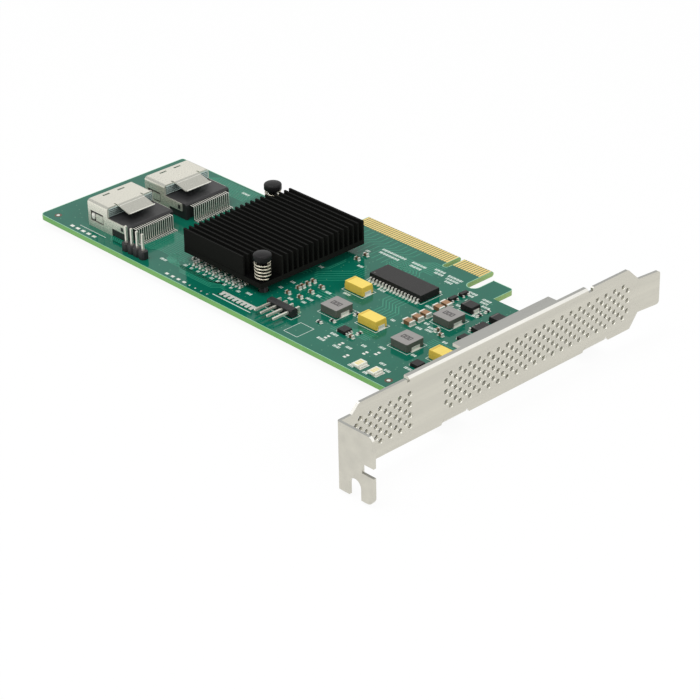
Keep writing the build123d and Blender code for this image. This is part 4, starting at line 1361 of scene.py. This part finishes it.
    @staticmethod
    def fiducials() -> None:
        """Set the two alignment dots, each in its bare ring."""
        dots, rings = Solids(), Solids()
        for x, y in ((-106.8, -65.6), (36.2, -65.5)):
            rings.disc(1.15 * MM, 0, SKIN, (x * MM, y * MM))
            dots.disc(0.55 * MM, 0, SKIN * 2, (x * MM, y * MM))
        dots.add("alignment_dots", Look.SOLDER, Slot.LEAD)
        rings.add("alignment_rings", Look.BARE, Slot.MASK)

    @staticmethod
    def joints() -> None:
        """Form the solder cones round the header pins on the solder side."""
        cones = Solids()
        tip = -2.35 * MM
        for node in ("upright_header_pins", "angled_header_pins"):
            for low, high in solids_of(node):
                x, y = middle(low, high)
                if node.startswith("angled"):
                    y = high.y - 0.32 * MM
                cones.lathe([(0, tip), (0.42 * MM, tip), (0.58 * MM, -2.0 * MM),
                             (0.95 * MM, BOARD_BACK - 0.05 * MM), (0.98 * MM, BOARD_BACK),
                             (0, BOARD_BACK)], (x, y), 20)
        cones.add("solder_cones", Look.SOLDER, Slot.LEAD)

    def build(self) -> None:
        """Finish both faces of the board."""
        self.print_marks()
        self.rim()
        self.copper()
        self.pads()
        self.open_pairs()
        self.open_rows()
        self.vias()
        self.fiducials()
        self.joints()


# ---- parts on the board


@dataclass
class SurfaceParts:
    """Moulded packages, chip parts and their marks.

    Attributes:
        cap: Length of a chip part's metal end.
        skin: Thickness of that end.
    """

    cap: float = 0.34 * MM
    skin: float = 0.02 * MM

    @staticmethod
    def packages() -> None:
        """Round the edges of every moulded package."""
        for number in (1, 2, 3):
            softened(f"tantalum_capacitor_{number}", Look.TANTALUM, Slot.TANTALUM, 0.16)
            softened(f"inductor_{number}", Look.FERRITE, Slot.FERRITE, 0.08)
            softened(f"small_chip_{number}", Look.PACKAGE, Slot.PACKAGE, 0.07)
        for number in (1, 2):
            softened(f"power_diode_{number}", Look.PACKAGE, Slot.PACKAGE, 0.1)
            softened(f"transistor_{number}", Look.PACKAGE, Slot.PACKAGE, 0.07)
            softened(f"status_led_{number}", Look.LAMP, Slot.LAMP, 0.12)
        softened("memory_chip", Look.PACKAGE, Slot.PACKAGE, 0.1)
        softened("regulator_chip", Look.PACKAGE, Slot.PACKAGE, 0.08)
        for side in SIDES:
            softened("port_housing_" + side, Look.HOUSING, Slot.HOUSING, 0.1)
        for kind in ("upright", "angled"):
            softened(kind + "_header_base", Look.HEADER, Slot.HEADER, 0.06)

    def end_caps(self) -> None:
        """Cap both ends of every small chip part."""
        caps = Solids()
        for first, last in chip_ends(self.cap, self.skin, self.skin):
            caps.box(first, (last[0], last[1], last[2] + self.skin))
        caps.add("chip_end_caps", Look.SOLDER, Slot.LEAD)

    @staticmethod
    def marks() -> None:
        """Add polarity bars, pin-one dots, lamp cores and plain rounded signs to the packages."""
        bars, dots, cores, signs = Solids(), Solids(), Solids(), Solids()
        for solids, nodes, start, end in ((bars, numbered("tantalum_capacitor", 3), 0.45, 1.15),
                                          (dots, numbered("power_diode", 2), 0.4, 0.8)):
            for low, high in map(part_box, nodes):
                under, top = on_top(high)
                solids.box((low.x + start * MM, low.y + 0.3 * MM, under),
                           (low.x + end * MM, high.y - 0.3 * MM, top))
        for node, inset in (("memory_chip", 1.1 * MM), ("regulator_chip", 0.7 * MM)):
            low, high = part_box(node)
            dots.disc(0.28 * MM, *on_top(high), (low.x + inset, low.y + inset), 16)
        for low, high in map(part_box, numbered("status_led", 2)):
            under, top = on_top(high)
            for step in range(3):
                start = low.y + (0.55 + 0.85 * step) * MM
                cores.box((low.x + 0.5 * MM, start, under), (high.x - 0.5 * MM, start + 0.7 * MM, top))
        side, tall, gap = 0.38 * MM, 0.75 * MM, 1.25 * MM
        for low, high in map(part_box, numbered("inductor", 3)):
            x, y = middle(low, high)
            for shift in (-gap, 0, gap):
                ring = [(x + shift + side * way_x, y + tall * way_y)
                        for way_x, way_y in ((-1, -1), (1, -1), (1, 1), (-1, 1))]
                signs.ribbon(ring, 0.32 * MM, *on_top(high), closed=True)
        cores.add("lamp_cores", Look.LAMP_CORE, Slot.LAMP)
        signs.add("inductor_marks", Look.FERRITE_MARK, Slot.FERRITE)
        bars.add("polarity_bars", Look.POLARITY, Slot.TANTALUM)
        dots.add("package_marks", Look.PRINT, Slot.PACKAGE)

    def build(self) -> None:
        """Dress every part on the board."""
        self.packages()
        self.end_caps()
        self.marks()


# ---- frame nodes


def look_for(node: str) -> Look:
    """Choose the finish of a frame node that keeps its own mesh.

    Args:
        node: Name of the node.

    Returns:
        Its finish, or a plain one for a node that a piece stands for.
    """
    if node.endswith(("_leads", "_terminals")):
        return Look.LEAD
    if node.endswith("_header_pins"):
        return Look.HEADER_PIN
    choices = {"circuit_board": Look.MASK, "edge_contacts": Look.GOLD, "heat_sink": Look.SINK,
               "controller_substrate": Look.SUBSTRATE, "controller_lid": Look.LID,
               "thermal_pad": Look.PAD, "port_cage": Look.CAGE, "port_leads": Look.PORT_LEAD,
               "ceramic_capacitor_ends": Look.SOLDER, "ceramic_capacitor": Look.CERAMIC,
               "chip_resistors": Look.RESISTOR, "chip_capacitors": Look.CAPACITOR,
               "array_capacitors": Look.CAPACITOR}
    return next((look for start, look in choices.items() if node.startswith(start)), Look.PACKAGE)


def dress_frame() -> None:
    """Give every frame node its finish."""
    for name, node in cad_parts.items():
        material = look_for(name).material()
        if not node.material_slots:
            node.data.materials.append(material)
        for slot in node.material_slots:
            slot.material = material


def main() -> None:
    """Build the studio and every piece."""
    logging.basicConfig(level=logging.INFO, format="%(name)s: %(message)s")
    Studio().build()
    dress_frame()
    ports = [CablePort(side) for side in SIDES]
    for group in (SlotBracket(), SinkFixings(), *ports, BoardDetail(), SurfaceParts()):
        group.build()
        LOG.info("%s done", type(group).__name__)
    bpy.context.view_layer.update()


if __name__ == "__main__":
    main()
